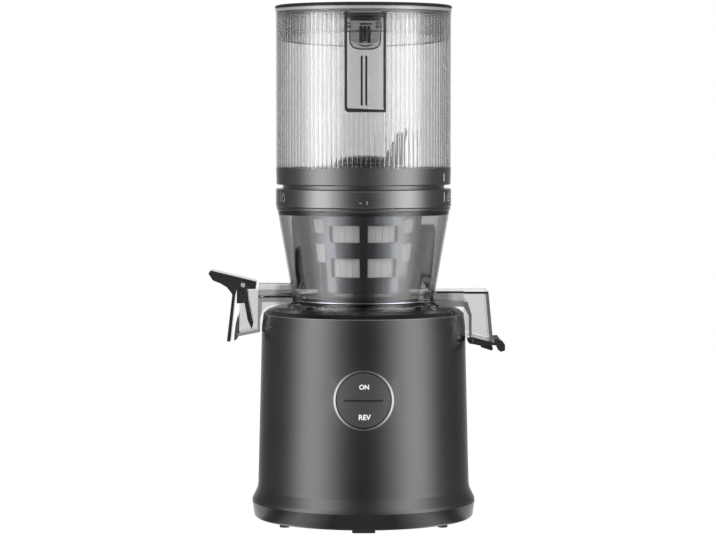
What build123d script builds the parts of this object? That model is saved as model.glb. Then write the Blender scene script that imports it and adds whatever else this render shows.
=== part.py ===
"""Vertical slow juicer, in millimetres.

+Z is up, the front with the rocker button faces -Y, the juice spout points to -X and the
pulp chute to +X. The origin is on the drive axis, at the surface that the juicer stands on.
"""

from build123d import *
import math
import os

# ---------------------------------------------------------------- driving dimensions
# Clearances
RUN_GAP = 0.3          # between curved faces of different bodies
SHAFT_GAP = 0.05       # radial, shaft in its bush
REST_GAP = 0.1         # flat faces that rest on each other across a joint
TOOTH_GAP = 0.16       # taken off each tooth at the pitch circle

# Base
FOOT_HEIGHT = 3.4
BASE_RADIUS = 89.0
BASE_TAPER = 1.6               # of the base ring, from the seam down
BASE_RING_HEIGHT = 12.4
FLARE_HEIGHT = 15.2
FLARE_DEPTH = 4.8
BODY_HEIGHT = 125.0
BODY_TAPER = 3.1
SHOULDER_HEIGHT = 9.6
SHOULDER_TAPER = 1.3
DECK_RISE = 5.0
DECK_INSET = 9.2
SHELL_WALL = 3.0
COVER_THICKNESS = 2.4
COVER_LIP = 5.0
LEDGE_HEIGHT = 4.0
VENT_WIDTH = 2.5
VENT_INNER = 24.0
VENT_OUTER = 52.0
VENT_COUNT = 16

# Feet
PAD_WIDTH = 18.0
PAD_DEPTH = 10.0
PAD_CORNER = 2.5
PAD_INSET = 14.4               # from the bottom's edge to the pad's middle
STUD_RADIUS = 3.85
STUD_X = 62.0
STUD_Y = 45.0
COVER_SCREW_INSET = 21.4
COVER_SCREW_ANGLES = (25, 155, 205, 335)
SCREW_RADIUS = 1.5
SCREW_HEAD_RADIUS = 3.0
POST_RADIUS = 4.0
POST_HEIGHT = 20.0
RIB_WIDTH = 2.4

# Rocker button
BUTTON_HEIGHT = 72.5           # above the flare's top
BEZEL_RADIUS = 23.35
BEZEL_WIDTH = 1.6
BEZEL_PROUD = 0.7
BUTTON_GAP = 0.7
BUTTON_PROUD = 0.2
BUTTON_THICKNESS = 4.0
GROOVE_LENGTH = 30.4
GROOVE_WIDTH = 1.0
GROOVE_DEPTH = 0.8
PIVOT_DEPTH = 8.0
PIVOT_RADIUS = 1.5
PIVOT_LENGTH = 16.0
PIVOT_HUB_RADIUS = 3.2
STEM_WIDTH = 10.0
STEM_HEIGHT = 6.0
PRESSER_RADIUS = 2.0
PRESSER_LENGTH = 3.5
SWITCH_OFFSET = 12.0           # from the pivot to each microswitch
SWITCH_WIDTH = 6.4
SWITCH_HEIGHT = 10.0
PLUNGER_RADIUS = 1.2
PLUNGER_REACH = 3.0
SWITCH_STROKE = 1.0
SWITCH_BOX_DEPTH = 16.0
SWITCH_BOX_FRONT = 6.5         # behind the housing's face
SWITCH_BOX_MARGIN = 3.0
SWITCH_BOX_WALL = 2.0
PIVOT_EAR_X = 7.0
PIVOT_EAR_WIDTH = 3.0

# Motor
MOTOR_RADIUS = 34.0
MOTOR_WALL = 1.5
MOTOR_LENGTH = 66.0
END_BELL_THICKNESS = 4.0
MOTOR_SHAFT_RADIUS = 4.0
BEARING_RADIUS = 9.0
BEARING_WIDTH = 7.0
BEARING_SEAT_WALL = 2.0
ROTOR_RADIUS = 22.0
STATOR_BORE = 22.6
STATOR_INSET = 15.0            # from the can's ends to the stator
WINDING_HEIGHT = 7.0
WINDING_WIDTH = 6.0
COIL_OFFSET = 4.2              # from the stator's bore to its slots
SLOT_RADIUS = 2.6
STATOR_SLOTS = 12
MOUNT_PLATE_THICKNESS = 3.0
MOUNT_PLATE_MARGIN = 6.0
BUSH_HEIGHT = 5.0
BUSH_CIRCLE = 31.0
BUSH_RADIUS = 4.5
BUSH_BORE = 1.8
BUSH_ANGLES = (30, 150, 270)
FAN_RADIUS = 27.0
FAN_HUB_RADIUS = 8.0
FAN_HEIGHT = 9.0
FAN_PLATE = 1.4
FAN_BLADE_THICKNESS = 1.6
FAN_BLADES = 9

# Electrics
BOARD_CLEARANCE = 10.2         # from the bottom cover up to the board
BOARD_X = 38.0
BOARD_Y = 24.0
BOARD_MARGIN = 5.0
BOARD_THICKNESS = 1.6
STANDOFF_RADIUS = 3.0
GLAND_HEIGHT = 24.2            # above the seam
GLAND_RADIUS = 7.0
GLAND_FLANGE = 9.5
GLAND_BORE = 3.7
GLAND_LIP = 2.0
GLAND_NUT = 3.0
GLAND_SEAT = 0.8               # the curved wall's rise under the flat lip
GLAND_SEAT_INSIDE = 1.1

# Gears: two equal stages, with the output on the motor's axis
MODULE = 1.0
PINION_TEETH = 12
WHEEL_TEETH = 60
PRESSURE_ANGLE = 25.0
ADDENDUM = 0.8
DEDENDUM = 1.05
STAGE1_WIDTH = 9.0
STAGE2_WIDTH = 11.0
GEAR_GAP = 1.0                 # between a gear's face and the plate beside it
PINION_OVERHANG = 0.5
WEB_RIM = 6.0
WEB_HUB = 10.0
WEB_DEPTH = 2.5
GEARBOX_WALL = 3.0
GEARBOX_GAP = 2.2
GEARBOX_DROP = 16.2            # from under the deck to the gearbox's cover
PLATE_THICKNESS = 2.4
AXLE_RADIUS = 3.0
AXLE_BOSS_WALL = 3.0
DRIVE_RADIUS = 7.0
JOURNAL_RADIUS = 5.0
JOURNAL_WALL = 1.5
HEX_ACROSS = 11.0
HEX_REACH = 12.0               # above the auger's foot
BUSH_WALL = 3.0
BUSH_BOSS_HEIGHT = 5.0
SEAL_WIDTH = 4.0
BOSS_RADIUS = 4.5
BOSS_HEIGHT = 12.0
BOSS_MARGIN = 3.5
GEARBOX_SCREW_INSET = 8.0

# Chamber
RING_RADIUS = 69.8
RING_HEIGHT = 14.5
RING_WALL = 5.0
BOWL_RIM_INSET = 1.2
BOWL_RIM_HEIGHT = 3.0
BOWL_LOW_RADIUS = 56.2
BOWL_HEIGHT = 74.5             # of the sloping wall and its rim
BOWL_LOW_RISE = 5.3            # from the bowl's underside to the slope's foot
BOWL_WALL = 3.0
BOWL_FLOOR = 3.0
BOWL_FLOOR_RISE = 2.0
FOOT_FLANGE_WIDTH = 4.3
FOOT_FLANGE_HEIGHT = 2.6
LEDGE_WIDTH = 3.3
LUG_REACH = 5.0
LUG_ANGLES = (-38, 218)
LUG_HALF_ANGLE = 9.0
SEAL_WALL = 2.6

# Juice spout and its cap
SPOUT_RISE = 13.7              # from the bowl's underside to the spout's top
SPOUT_HALF_WIDTH = 15.0
SPOUT_WALL = 2.0
SPOUT_REACH = 16.7             # from the housing's side to the tip
SPOUT_LIP_REACH = 2.4
SPOUT_LIP_DROP = 8.4           # below the housing's shoulder
SPOUT_HEEL_RISE = 3.6
BODY_CLEARANCE = 0.9
TUBE_RADIUS = 7.0
TUBE_BORE = 4.9
TUBE_DROP = 1.9
TUBE_REACH = 2.5
CAP_PIVOT_INSET = 2.2
CAP_PIVOT_RISE = 4.2
CAP_PIN_RADIUS = 1.8
CAP_EAR_RADIUS = 3.4
CAP_HALF_WIDTH = 12.0
GATE_HALF_WIDTH = 10.0
FLAP_DROP = 45.2               # from the pin to the flap's foot
FLAP_TOP_DROP = 7.6
PIN_OVERHANG = 0.4

# Pulp chute and its door
CHUTE_RISE = 13.2              # from the bowl's underside to the chute's top
CHUTE_HALF_WIDTH = 24.0
CHUTE_CLEARANCE = 2.1          # from the housing's side
CHUTE_DEPTH = 15.4
CHUTE_FLARE = 3.8
CHUTE_FOOT_DROP = 12.0         # below the housing's shoulder
CHUTE_HEEL_RISE = 5.5          # the foot slopes up to the housing
CHEEK_CLEARANCE = 0.9          # from the chute's cheeks to the housing's side
CHUTE_WALL = 2.2
CHUTE_EAR_WIDTH = 2.6
DUCT_HALF_WIDTH = 12.0
DUCT_TOP_WALL = 1.9
DUCT_SIDE_WALL = 2.0
PULP_PIPE_X0 = 14.2
PULP_PIPE_X1 = 24.4
PULP_PIPE_HALF_WIDTH = 7.6
PULP_PIPE_WALL = 1.3
DOOR_PIVOT_INSET = 1.8
DOOR_PIVOT_RISE = 1.2          # over the chute's foot
DOOR_BARREL_RADIUS = 2.8
DOOR_TOP_GAP = 1.0             # under the chute's foot, at the housing's side
DOOR_PIN_RADIUS = 1.6
DOOR_EAR_RADIUS = 3.0
DOOR_LUG_HALF_WIDTH = 6.0

# Wiper drive
WIPER_PIN_RADIUS = 2.0
WIPER_PIN_BOSS = 4.5
AUGER_GEAR_TEETH = 28
WIPER_IDLER_TEETH = 13
WIPER_RING_TEETH = 54
WIPER_GEAR_RISE = 7.6          # above the bowl's floor
WIPER_GEAR_WIDTH = 5.4
WIPER_SEAT_WIDTH = 5.0

# Strainer, wiper and auger
CAGE_RADIUS = 42.7             # outside of the wiper cage at CAGE_REF_DROP
CAGE_REF_DROP = 2.5            # below the chamber ring
CAGE_SLOPE = 0.0845
CAGE_WALL = 2.4
CAGE_TOP_GAP = 1.0
STRAINER_GAP = 0.9
STRAINER_WALL = 1.6
STRAINER_RISE = 1.3            # above the wiper's gear
STRAINER_FLOOR = 2.2
STRAINER_FLANGE = 3.0
STRAINER_SLOTS = 40
SLOT_WIDTH = 0.9
SLOT_FOOT = 5.0
SLOT_HEAD = 8.0
WINDOW_ANGLE = 36.0
WINDOW_COLUMNS = 8
WINDOW_ROWS_A = ((7.0, 21.9), (34.4, 47.7))        # above the wiper gear, by the front rib
WINDOW_ROWS_B = ((18.3, 33.3), (41.3, 52.3))       # above the wiper gear, elsewhere
BLADE_THICKNESS = 3.0
BLADE_REACH = 57.6             # outer radius of the blades' sweep
AUGER_SLEEVE_RADIUS = 10.4
AUGER_ROOT_RADIUS = 17.0
AUGER_TOP_RADIUS = 25.0
AUGER_RISE = 3.0               # above the strainer's foot
AUGER_NECK_RISE = 5.5          # above the chamber ring's foot
AUGER_HEAD_RISE = 1.5          # above the hopper's floor
SOCKET_CAP = 3.0
FLIGHT_GAP = 0.8
FLIGHT_THICKNESS = 5.0
FLIGHT_TURNS = 1.25
HORN_HEIGHT = 31.0
HORN_REACH = 35.0
HORN_THICKNESS = 7.0

# Hopper
HOPPER_INSET = 0.2             # inside the chamber ring's radius
HOPPER_WALL = 2.2
HOPPER_HEIGHT = 122.0
BAND_GAP = 3.0
BAND_HEIGHT = 13.5
NECK_GAP = 0.4
NECK_WALL = 3.0
FUNNEL_BORE = 41.0
FUNNEL_FLOOR = 3.0
LATCH_X = 1.2
WINDOW_HALF_WIDTH = 16.0
WINDOW_HEIGHT = 76.0
WINDOW_TOP_DROP = 2.5
WINDOW_CORNER = 3.0
FRAME_WIDTH = 2.0
FRAME_PROUD = 0.3
PANE_THICKNESS = 1.6
PANE_INSET = 0.3
GUIDE_OFFSET = 2.4
GUIDE_WIDTH = 1.2
GUIDE_DEPTH = 1.6
GUIDE_LENGTH = 41.0
HINGE_EAR_X = 10.0
HINGE_EAR_WIDTH = 6.0

# Lid
LID_OVERHANG = 0.6
LID_PLATE = 2.4
LID_GAP = 0.4
FLANGE_HEIGHT = 3.6
SKIRT_GAP = 4.4
SKIRT_WALL = 2.0
SKIRT_FRONT_LENGTH = 28.4
SKIRT_SIDE_LENGTH = 20.4
SKIRT_GAP_HALF = 17.0
LID_PIVOT_REACH = 4.4
LID_PIVOT_RISE = 0.5
LID_PIN_RADIUS = 1.5
KNUCKLE_RADIUS = 3.0
KNUCKLE_HALF_WIDTH = 9.0
LATCH_HALF_WIDTH = 12.0
LATCH_THICKNESS = 2.4
LATCH_LENGTH = 22.6
LATCH_CORNER = 6.0
LATCH_PIVOT_INSET = 0.4
LATCH_PIVOT_DROP = 3.3
LATCH_HUB_RADIUS = 2.1
LATCH_PIN_RADIUS = 1.0

# ---------------------------------------------------------------- derived places
# Base
SEAM_Z = FOOT_HEIGHT + BASE_RING_HEIGHT
FLARE_TOP_Z = SEAM_Z + FLARE_HEIGHT
BODY_TOP_Z = FLARE_TOP_Z + BODY_HEIGHT
SHOULDER_Z = BODY_TOP_Z + SHOULDER_HEIGHT
DECK_Z = SHOULDER_Z + DECK_RISE
DECK_UNDER_Z = DECK_Z - SHELL_WALL
BASE_BOTTOM_RADIUS = BASE_RADIUS - BASE_TAPER
FLARE_TOP_RADIUS = BASE_RADIUS - FLARE_DEPTH
BODY_TOP_RADIUS = FLARE_TOP_RADIUS - BODY_TAPER
SHOULDER_RADIUS = BODY_TOP_RADIUS - SHOULDER_TAPER
DECK_RADIUS = SHOULDER_RADIUS - DECK_INSET
PAD_OFFSET = BASE_BOTTOM_RADIUS - PAD_INSET
COVER_SCREW_RADIUS = BASE_BOTTOM_RADIUS - COVER_SCREW_INSET
COVER_TOP_Z = FOOT_HEIGHT + COVER_THICKNESS
BUTTON_Z = FLARE_TOP_Z + BUTTON_HEIGHT
BOARD_Z = COVER_TOP_Z + BOARD_CLEARANCE
GLAND_Z = SEAM_Z + GLAND_HEIGHT

# Gearbox and motor, hung from the deck
COVER_Z1 = DECK_UNDER_Z - GEARBOX_DROP
CASE_Z1 = COVER_Z1 - GEARBOX_WALL
STAGE2_Z0 = CASE_Z1 - 2 * GEAR_GAP - STAGE2_WIDTH
PLATE_Z0 = STAGE2_Z0 - GEAR_GAP - PLATE_THICKNESS
STAGE1_Z0 = PLATE_Z0 - GEAR_GAP - STAGE1_WIDTH
CASE_Z0 = STAGE1_Z0 - GEAR_GAP - GEARBOX_WALL
MOUNT_PLATE_Z0 = CASE_Z0 - BUSH_HEIGHT - MOUNT_PLATE_THICKNESS
MOTOR_Z1 = MOUNT_PLATE_Z0
MOTOR_Z0 = MOTOR_Z1 - MOTOR_LENGTH
CENTRE_DISTANCE = MODULE * (PINION_TEETH + WHEEL_TEETH) / 2
WHEEL_TIP = MODULE * (WHEEL_TEETH / 2 + ADDENDUM)
CASE_INNER = WHEEL_TIP + GEARBOX_GAP

# Chamber
CHAMBER_Z0 = DECK_Z + REST_GAP
FLOOR_Z0 = CHAMBER_Z0 + BOWL_FLOOR_RISE
FLOOR_Z1 = FLOOR_Z0 + BOWL_FLOOR
BOWL_LOW_Z = CHAMBER_Z0 + BOWL_LOW_RISE
RING_Z0 = BOWL_LOW_Z + BOWL_HEIGHT
RING_TOP_Z = RING_Z0 + RING_HEIGHT
RING_BORE = RING_RADIUS - RING_WALL
BOWL_TOP_RADIUS = RING_RADIUS - BOWL_RIM_INSET
FOOT_FLANGE_RADIUS = BOWL_LOW_RADIUS + FOOT_FLANGE_WIDTH
LEDGE_RADIUS = RING_BORE - LEDGE_WIDTH
SPOUT_TOP_Z = CHAMBER_Z0 + SPOUT_RISE
SPOUT_TIP_X = -BODY_TOP_RADIUS - SPOUT_REACH
SPOUT_LIP_X = SPOUT_TIP_X - SPOUT_LIP_REACH
SPOUT_LIP_Z = BODY_TOP_Z - SPOUT_LIP_DROP
SPOUT_HEEL_Z = SPOUT_LIP_Z + SPOUT_HEEL_RISE
TUBE_Z = SPOUT_TOP_Z - TUBE_DROP
TUBE_END_X = -BODY_TOP_RADIUS - TUBE_REACH
CAP_PIVOT_X = SPOUT_TIP_X + CAP_PIVOT_INSET
CAP_PIVOT_Z = SPOUT_TOP_Z + CAP_PIVOT_RISE
CHUTE_TOP_Z = CHAMBER_Z0 + CHUTE_RISE
CHUTE_INNER_X = BODY_TOP_RADIUS + CHUTE_CLEARANCE
CHUTE_OUTER_X = CHUTE_INNER_X + CHUTE_DEPTH
CHUTE_FOOT_X = CHUTE_OUTER_X + CHUTE_FLARE
CHUTE_FOOT_Z = BODY_TOP_Z - CHUTE_FOOT_DROP
CHUTE_HEEL_Z = CHUTE_FOOT_Z + CHUTE_HEEL_RISE
DOOR_PIVOT_X = CHUTE_INNER_X + DOOR_PIVOT_INSET
CHUTE_FOOT_SLOPE = CHUTE_HEEL_RISE / (CHUTE_FOOT_X - CHUTE_INNER_X)
CHEEK_REACH = BODY_TOP_RADIUS + CHEEK_CLEARANCE
CHEEK_X = math.sqrt(CHEEK_REACH ** 2 - (CHUTE_HALF_WIDTH - CHUTE_WALL) ** 2)
DOOR_PIVOT_Z = CHUTE_FOOT_Z + DOOR_PIVOT_RISE

# Wiper, strainer and auger
WIPER_GEAR_Z0 = FLOOR_Z1 + WIPER_GEAR_RISE
WIPER_GEAR_Z1 = WIPER_GEAR_Z0 + WIPER_GEAR_WIDTH
WIPER_IDLER_Y = MODULE * (AUGER_GEAR_TEETH + WIPER_IDLER_TEETH) / 2
HUB_BORE = AUGER_SLEEVE_RADIUS + RUN_GAP
STRAINER_Z0 = WIPER_GEAR_Z1 + STRAINER_RISE
FLANGE_TOP_Z = RING_Z0 + STRAINER_FLANGE
AUGER_Z0 = STRAINER_Z0 + AUGER_RISE
AUGER_NECK_Z = RING_Z0 + AUGER_NECK_RISE
HEX_TOP_Z = AUGER_Z0 + HEX_REACH

# Hopper and lid
BAND_Z0 = RING_TOP_Z + BAND_GAP
HOPPER_Z0 = BAND_Z0 + BAND_HEIGHT
HOPPER_TOP_Z = HOPPER_Z0 + HOPPER_HEIGHT
HOPPER_RADIUS = RING_RADIUS - HOPPER_INSET
HOPPER_BORE = HOPPER_RADIUS - HOPPER_WALL
NECK_RADIUS = RING_BORE - NECK_GAP
AUGER_HEAD_Z = HOPPER_Z0 + AUGER_HEAD_RISE
HORN_TIP_Z = AUGER_HEAD_Z + HORN_HEIGHT
WINDOW_TOP_Z = HOPPER_TOP_Z - WINDOW_TOP_DROP
WINDOW_Z0 = WINDOW_TOP_Z - WINDOW_HEIGHT
FLANGE_Z0 = HOPPER_TOP_Z + LID_GAP
FLANGE_Z1 = FLANGE_Z0 + FLANGE_HEIGHT
LID_TOP_Z = FLANGE_Z1 + LID_PLATE
LID_RADIUS = HOPPER_RADIUS + LID_OVERHANG
SKIRT_RADIUS = HOPPER_BORE - SKIRT_GAP
SKIRT_FRONT_Z = FLANGE_Z0 - SKIRT_FRONT_LENGTH
SKIRT_SIDE_Z = FLANGE_Z0 - SKIRT_SIDE_LENGTH
LID_PIVOT_Y = HOPPER_RADIUS + LID_PIVOT_REACH
LID_PIVOT_Z = FLANGE_Z0 + LID_PIVOT_RISE
LATCH_PIVOT_Y = -SKIRT_RADIUS + LATCH_PIVOT_INSET
LATCH_PIVOT_Z = FLANGE_Z0 - LATCH_PIVOT_DROP
LATCH_LOW_Z = LATCH_PIVOT_Z - LATCH_LENGTH
BOTTOM = (Align.CENTER, Align.CENTER, Align.MIN)


# ---------------------------------------------------------------- helpers
def disc(radius, z0, z1, x=0.0, y=0.0):
    return Pos(x, y, z0) * Cylinder(radius, z1 - z0, align=BOTTOM)


def ring(outer, inner, z0, z1, x=0.0, y=0.0):
    return disc(outer, z0, z1, x, y) - disc(inner, z0 - 1, z1 + 1, x, y)


def block(x0, x1, y0, y1, z0, z1):
    centre = Pos((x0 + x1) / 2, (y0 + y1) / 2, (z0 + z1) / 2)
    return centre * Box(x1 - x0, y1 - y0, z1 - z0)


def turned(profile):
    """Solid of revolution about the axis, from (radius, height) points."""
    outline = Polyline(*[(r, 0, z) for r, z in profile], close=True)
    return revolve(make_face(outline), Axis.Z, 360)


def side_plate(profile, half_width):
    """Prism across the juicer's depth, from (x, height) points."""
    outline = Polyline(*[(x, 0, z) for x, z in profile], close=True)
    return extrude(make_face(outline), half_width, dir=(0, 1, 0), both=True)


def rod_x(radius, length, x, y, z):
    return Pos(x, y, z) * Rot(0, 90, 0) * Cylinder(radius, length)


def rod_y(radius, length, x, y, z):
    return Pos(x, y, z) * Rot(90, 0, 0) * Cylinder(radius, length)


def on_circle(radius, angle):
    turn = math.radians(angle)
    return radius * math.cos(turn), radius * math.sin(turn)


def around(shape, count, start=0.0):
    """Copies of a shape, evenly spaced about the axis."""
    return [Rot(0, 0, start + 360 / count * k) * shape for k in range(count)]


def wedge(angle, half_angle, reach, z0, z1):
    """Sector of a disc about the axis, centred on one direction."""
    a0 = math.radians(angle - half_angle)
    a1 = math.radians(angle + half_angle)
    points = [
        (0, 0, z0),
        (reach * math.cos(a0), reach * math.sin(a0), z0),
        (reach * math.cos(a1), reach * math.sin(a1), z0),
    ]
    return extrude(make_face(Polyline(*points, close=True)), z1 - z0, dir=(0, 0, 1))


def save(name, *shapes):
    solids = [s for shape in shapes for s in shape.solids()]
    result = solids[0] if len(solids) == 1 else Compound(solids)
    export_step(result, f"parts/{name}.step")


def involute(base, radius):
    """Polar angle, from its start, of the involute of a base circle at a radius."""
    if radius <= base:
        return 0.0
    t = math.sqrt((radius / base) ** 2 - 1)
    return t - math.atan(t)


def gear_outline(teeth, addendum, dedendum, thinning, phase, z):
    """Closed outline of an involute gear; a tooth is centred on the phase, in teeth."""
    pitch = MODULE * teeth / 2
    base = pitch * math.cos(math.radians(PRESSURE_ANGLE))
    tip = pitch + MODULE * addendum
    root = pitch - MODULE * dedendum
    half = (math.pi * MODULE / 2 - thinning) / (2 * pitch) + involute(base, pitch)
    start = max(root, base)
    radii = [start + (tip - start) * k / 3 for k in range(4)]
    if root < start:
        radii.insert(0, root)
    points = []
    for tooth in range(teeth):
        middle = 2 * math.pi * (tooth + phase) / teeth
        rising = [(r, middle - half + involute(base, r)) for r in radii]
        falling = [(r, middle + half - involute(base, r)) for r in reversed(radii)]
        points += [
            (r * math.cos(a), r * math.sin(a), z) for r, a in rising + falling
        ]
    return make_face(Polyline(*points, close=True))


def gear(teeth, z0, z1, bore, phase=0.0, x=0.0, y=0.0):
    face = gear_outline(teeth, ADDENDUM, DEDENDUM, TOOTH_GAP, phase, z0)
    wheel = extrude(face, z1 - z0, dir=(0, 0, 1)) - disc(bore, z0 - 1, z1 + 1)
    return Pos(x, y, 0) * wheel


def meshing_phase(teeth_a, phase_a, teeth_b, direction):
    """Phase of gear b that meshes outside with gear a, seen from a in a direction."""
    turn_a = math.radians(direction) / (2 * math.pi) * teeth_a - phase_a
    turn_b = math.radians(direction + 180) / (2 * math.pi) * teeth_b
    return turn_b + turn_a - 0.5


def body_radius(z):
    """Outer radius of the housing between its flare and its shoulder."""
    share = (z - FLARE_TOP_Z) / (BODY_TOP_Z - FLARE_TOP_Z)
    return FLARE_TOP_RADIUS + share * (BODY_TOP_RADIUS - FLARE_TOP_RADIUS)


def body_layer(depth_in, proud, z0, z1):
    """Slice of the housing's tapering wall, from inside to outside its surface."""
    lo, hi = body_radius(z0), body_radius(z1)
    return turned(
        [(lo - depth_in, z0), (lo + proud, z0), (hi + proud, z1), (hi - depth_in, z1)]
    )


def bowl_radius(z):
    """Outer radius of the chamber bowl's wall."""
    share = (z - BOWL_LOW_Z) / (RING_Z0 - BOWL_RIM_HEIGHT - BOWL_LOW_Z)
    return BOWL_LOW_RADIUS + share * (BOWL_TOP_RADIUS - BOWL_LOW_RADIUS)


def cage_radius(z):
    """Outer radius of the wiper's cage, which tapers like the strainer inside it."""
    return CAGE_RADIUS + (z - RING_Z0 + CAGE_REF_DROP) * CAGE_SLOPE


def strainer_radius(z):
    return cage_radius(z) - CAGE_WALL - STRAINER_GAP


# ---------------------------------------------------------------- base
def housing_shell():
    outer = turned(
        [
            (0, SEAM_Z),
            (BASE_RADIUS, SEAM_Z),
            (BASE_RADIUS - 0.3, SEAM_Z + 2.4),
            (BASE_RADIUS - 2.2, SEAM_Z + 6.2),
            (FLARE_TOP_RADIUS + 0.6, FLARE_TOP_Z - 4.6),
            (FLARE_TOP_RADIUS, FLARE_TOP_Z),
            (BODY_TOP_RADIUS, BODY_TOP_Z),
            (SHOULDER_RADIUS, SHOULDER_Z),
            (SHOULDER_RADIUS - 3.4, SHOULDER_Z + 3.0),
            (DECK_RADIUS, DECK_Z),
            (0, DECK_Z),
        ]
    )
    inner = turned(
        [
            (0, SEAM_Z - 1),
            (BASE_RADIUS - SHELL_WALL, SEAM_Z - 1),
            (BASE_RADIUS - SHELL_WALL - 1.2, SEAM_Z + 3),
            (FLARE_TOP_RADIUS - SHELL_WALL, FLARE_TOP_Z - 2),
            (BODY_TOP_RADIUS - SHELL_WALL, BODY_TOP_Z),
            (SHOULDER_RADIUS - SHELL_WALL - 1.2, SHOULDER_Z - 2),
            (DECK_RADIUS - SHELL_WALL, DECK_UNDER_Z),
            (0, DECK_UNDER_Z),
        ]
    )
    boss_top = DECK_UNDER_Z + 1
    bosses = [
        disc(BOSS_RADIUS, COVER_Z1, boss_top, x, y) for x, y in gearbox_screw_places()
    ]
    post = disc(POST_RADIUS, COVER_TOP_Z + REST_GAP, SEAM_Z + POST_HEIGHT,
                COVER_SCREW_RADIUS)
    post += block(COVER_SCREW_RADIUS, BASE_RADIUS - SHELL_WALL / 2, -RIB_WIDTH / 2,
                  RIB_WIDTH / 2, SEAM_Z + 5, SEAM_Z + POST_HEIGHT)
    posts = [Rot(0, 0, angle) * post for angle in COVER_SCREW_ANGLES]
    inside = outer + disc(BASE_RADIUS - 3 * SHELL_WALL, 0, SEAM_Z)
    shell = outer - inner + bosses + [p & inside for p in posts]
    for x, y in cover_screw_places():
        shell -= disc(SCREW_RADIUS, 0, SEAM_Z, x, y)
    for x, y in gearbox_screw_places():
        shell -= disc(SCREW_RADIUS, COVER_Z1 - 1, COVER_Z1 + BOSS_HEIGHT / 2, x, y)
    shell -= disc(DRIVE_RADIUS + SEAL_WIDTH, DECK_UNDER_Z - 1, DECK_Z + 1)
    through = 6 * SHELL_WALL
    shell -= rod_y(BEZEL_RADIUS, through, 0, -body_radius(BUTTON_Z), BUTTON_Z)
    shell -= rod_y(GLAND_RADIUS, through, 0, body_radius(GLAND_Z), GLAND_Z)
    return shell


def cover_screw_places():
    return [on_circle(COVER_SCREW_RADIUS, angle) for angle in COVER_SCREW_ANGLES]


def base_ring():
    inner = BASE_BOTTOM_RADIUS - SHELL_WALL
    body = turned(
        [
            (inner - COVER_LIP, COVER_TOP_Z),
            (inner, COVER_TOP_Z),
            (inner, FOOT_HEIGHT),
            (BASE_BOTTOM_RADIUS - 1.2, FOOT_HEIGHT),
            (BASE_BOTTOM_RADIUS, FOOT_HEIGHT + 1.2),
            (BASE_RADIUS - 0.4, SEAM_Z - 3.0),
            (BASE_RADIUS, SEAM_Z),
            (inner, SEAM_Z),
            (inner, COVER_TOP_Z + LEDGE_HEIGHT),
            (inner - COVER_LIP, COVER_TOP_Z + 0.4 * LEDGE_HEIGHT),
        ]
    )
    return body


def bottom_cover():
    plate = disc(BASE_BOTTOM_RADIUS - SHELL_WALL - RUN_GAP, FOOT_HEIGHT, COVER_TOP_Z)
    for x, y in cover_screw_places():
        plate -= disc(SCREW_RADIUS + SHAFT_GAP, 0, SEAM_Z, x, y)
    half = VENT_WIDTH / 2
    vent = block(VENT_INNER, VENT_OUTER, -half, half, 0, BOARD_Z)
    plate -= around(vent, VENT_COUNT, 180 / VENT_COUNT)
    for x in (-BOARD_X, BOARD_X):
        for y in (-BOARD_Y, BOARD_Y):
            plate += disc(STANDOFF_RADIUS, COVER_TOP_Z, BOARD_Z, x, y)
    return plate


def screw(x, y, z0, z1):
    """Pan-head screw that enters upward; z0 is under its head."""
    head = disc(SCREW_HEAD_RADIUS, z0 - SCREW_HEAD_RADIUS / 2, z0, x, y)
    return head + disc(SCREW_RADIUS, z0, z1, x, y)


def housing_screws():
    """Screws up through the cover, and up through the gearbox into the deck's bosses."""
    cover = [screw(x, y, FOOT_HEIGHT, SEAM_Z) for x, y in cover_screw_places()]
    gearbox = [
        screw(x, y, CASE_Z1 - BOSS_HEIGHT, COVER_Z1 + BOSS_HEIGHT / 2)
        for x, y in gearbox_screw_places()
    ]
    return cover + gearbox


def foot_pads():
    return [
        Pos(0, side * PAD_OFFSET, 0)
        * fillet_vertical(Box(PAD_WIDTH, PAD_DEPTH, FOOT_HEIGHT, align=BOTTOM), PAD_CORNER)
        for side in (-1, 1)
    ]


def fillet_vertical(shape, radius):
    return fillet(shape.edges().filter_by(Axis.Z), radius)


def foot_studs():
    places = [(x, y) for x in (-STUD_X, STUD_X) for y in (-STUD_Y, STUD_Y)]
    return [disc(STUD_RADIUS, 0, FOOT_HEIGHT, x, y) for x, y in places]


# ---------------------------------------------------------------- rocker button
def button_layer(depth_in, proud):
    """Slice of the housing's wall over the button's height and a little more."""
    reach = BEZEL_RADIUS + 2 * SHELL_WALL
    return body_layer(depth_in, proud, BUTTON_Z - reach, BUTTON_Z + reach)


def button_bezel():
    front = -body_radius(BUTTON_Z)
    tube = rod_y(BEZEL_RADIUS, BEZEL_RADIUS, 0, front, BUTTON_Z)
    tube -= rod_y(BEZEL_RADIUS - BEZEL_WIDTH, 2 * BEZEL_RADIUS, 0, front, BUTTON_Z)
    return tube & button_layer(SHELL_WALL, BEZEL_PROUD)


def pivot_y():
    return -body_radius(BUTTON_Z) + PIVOT_DEPTH


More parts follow.
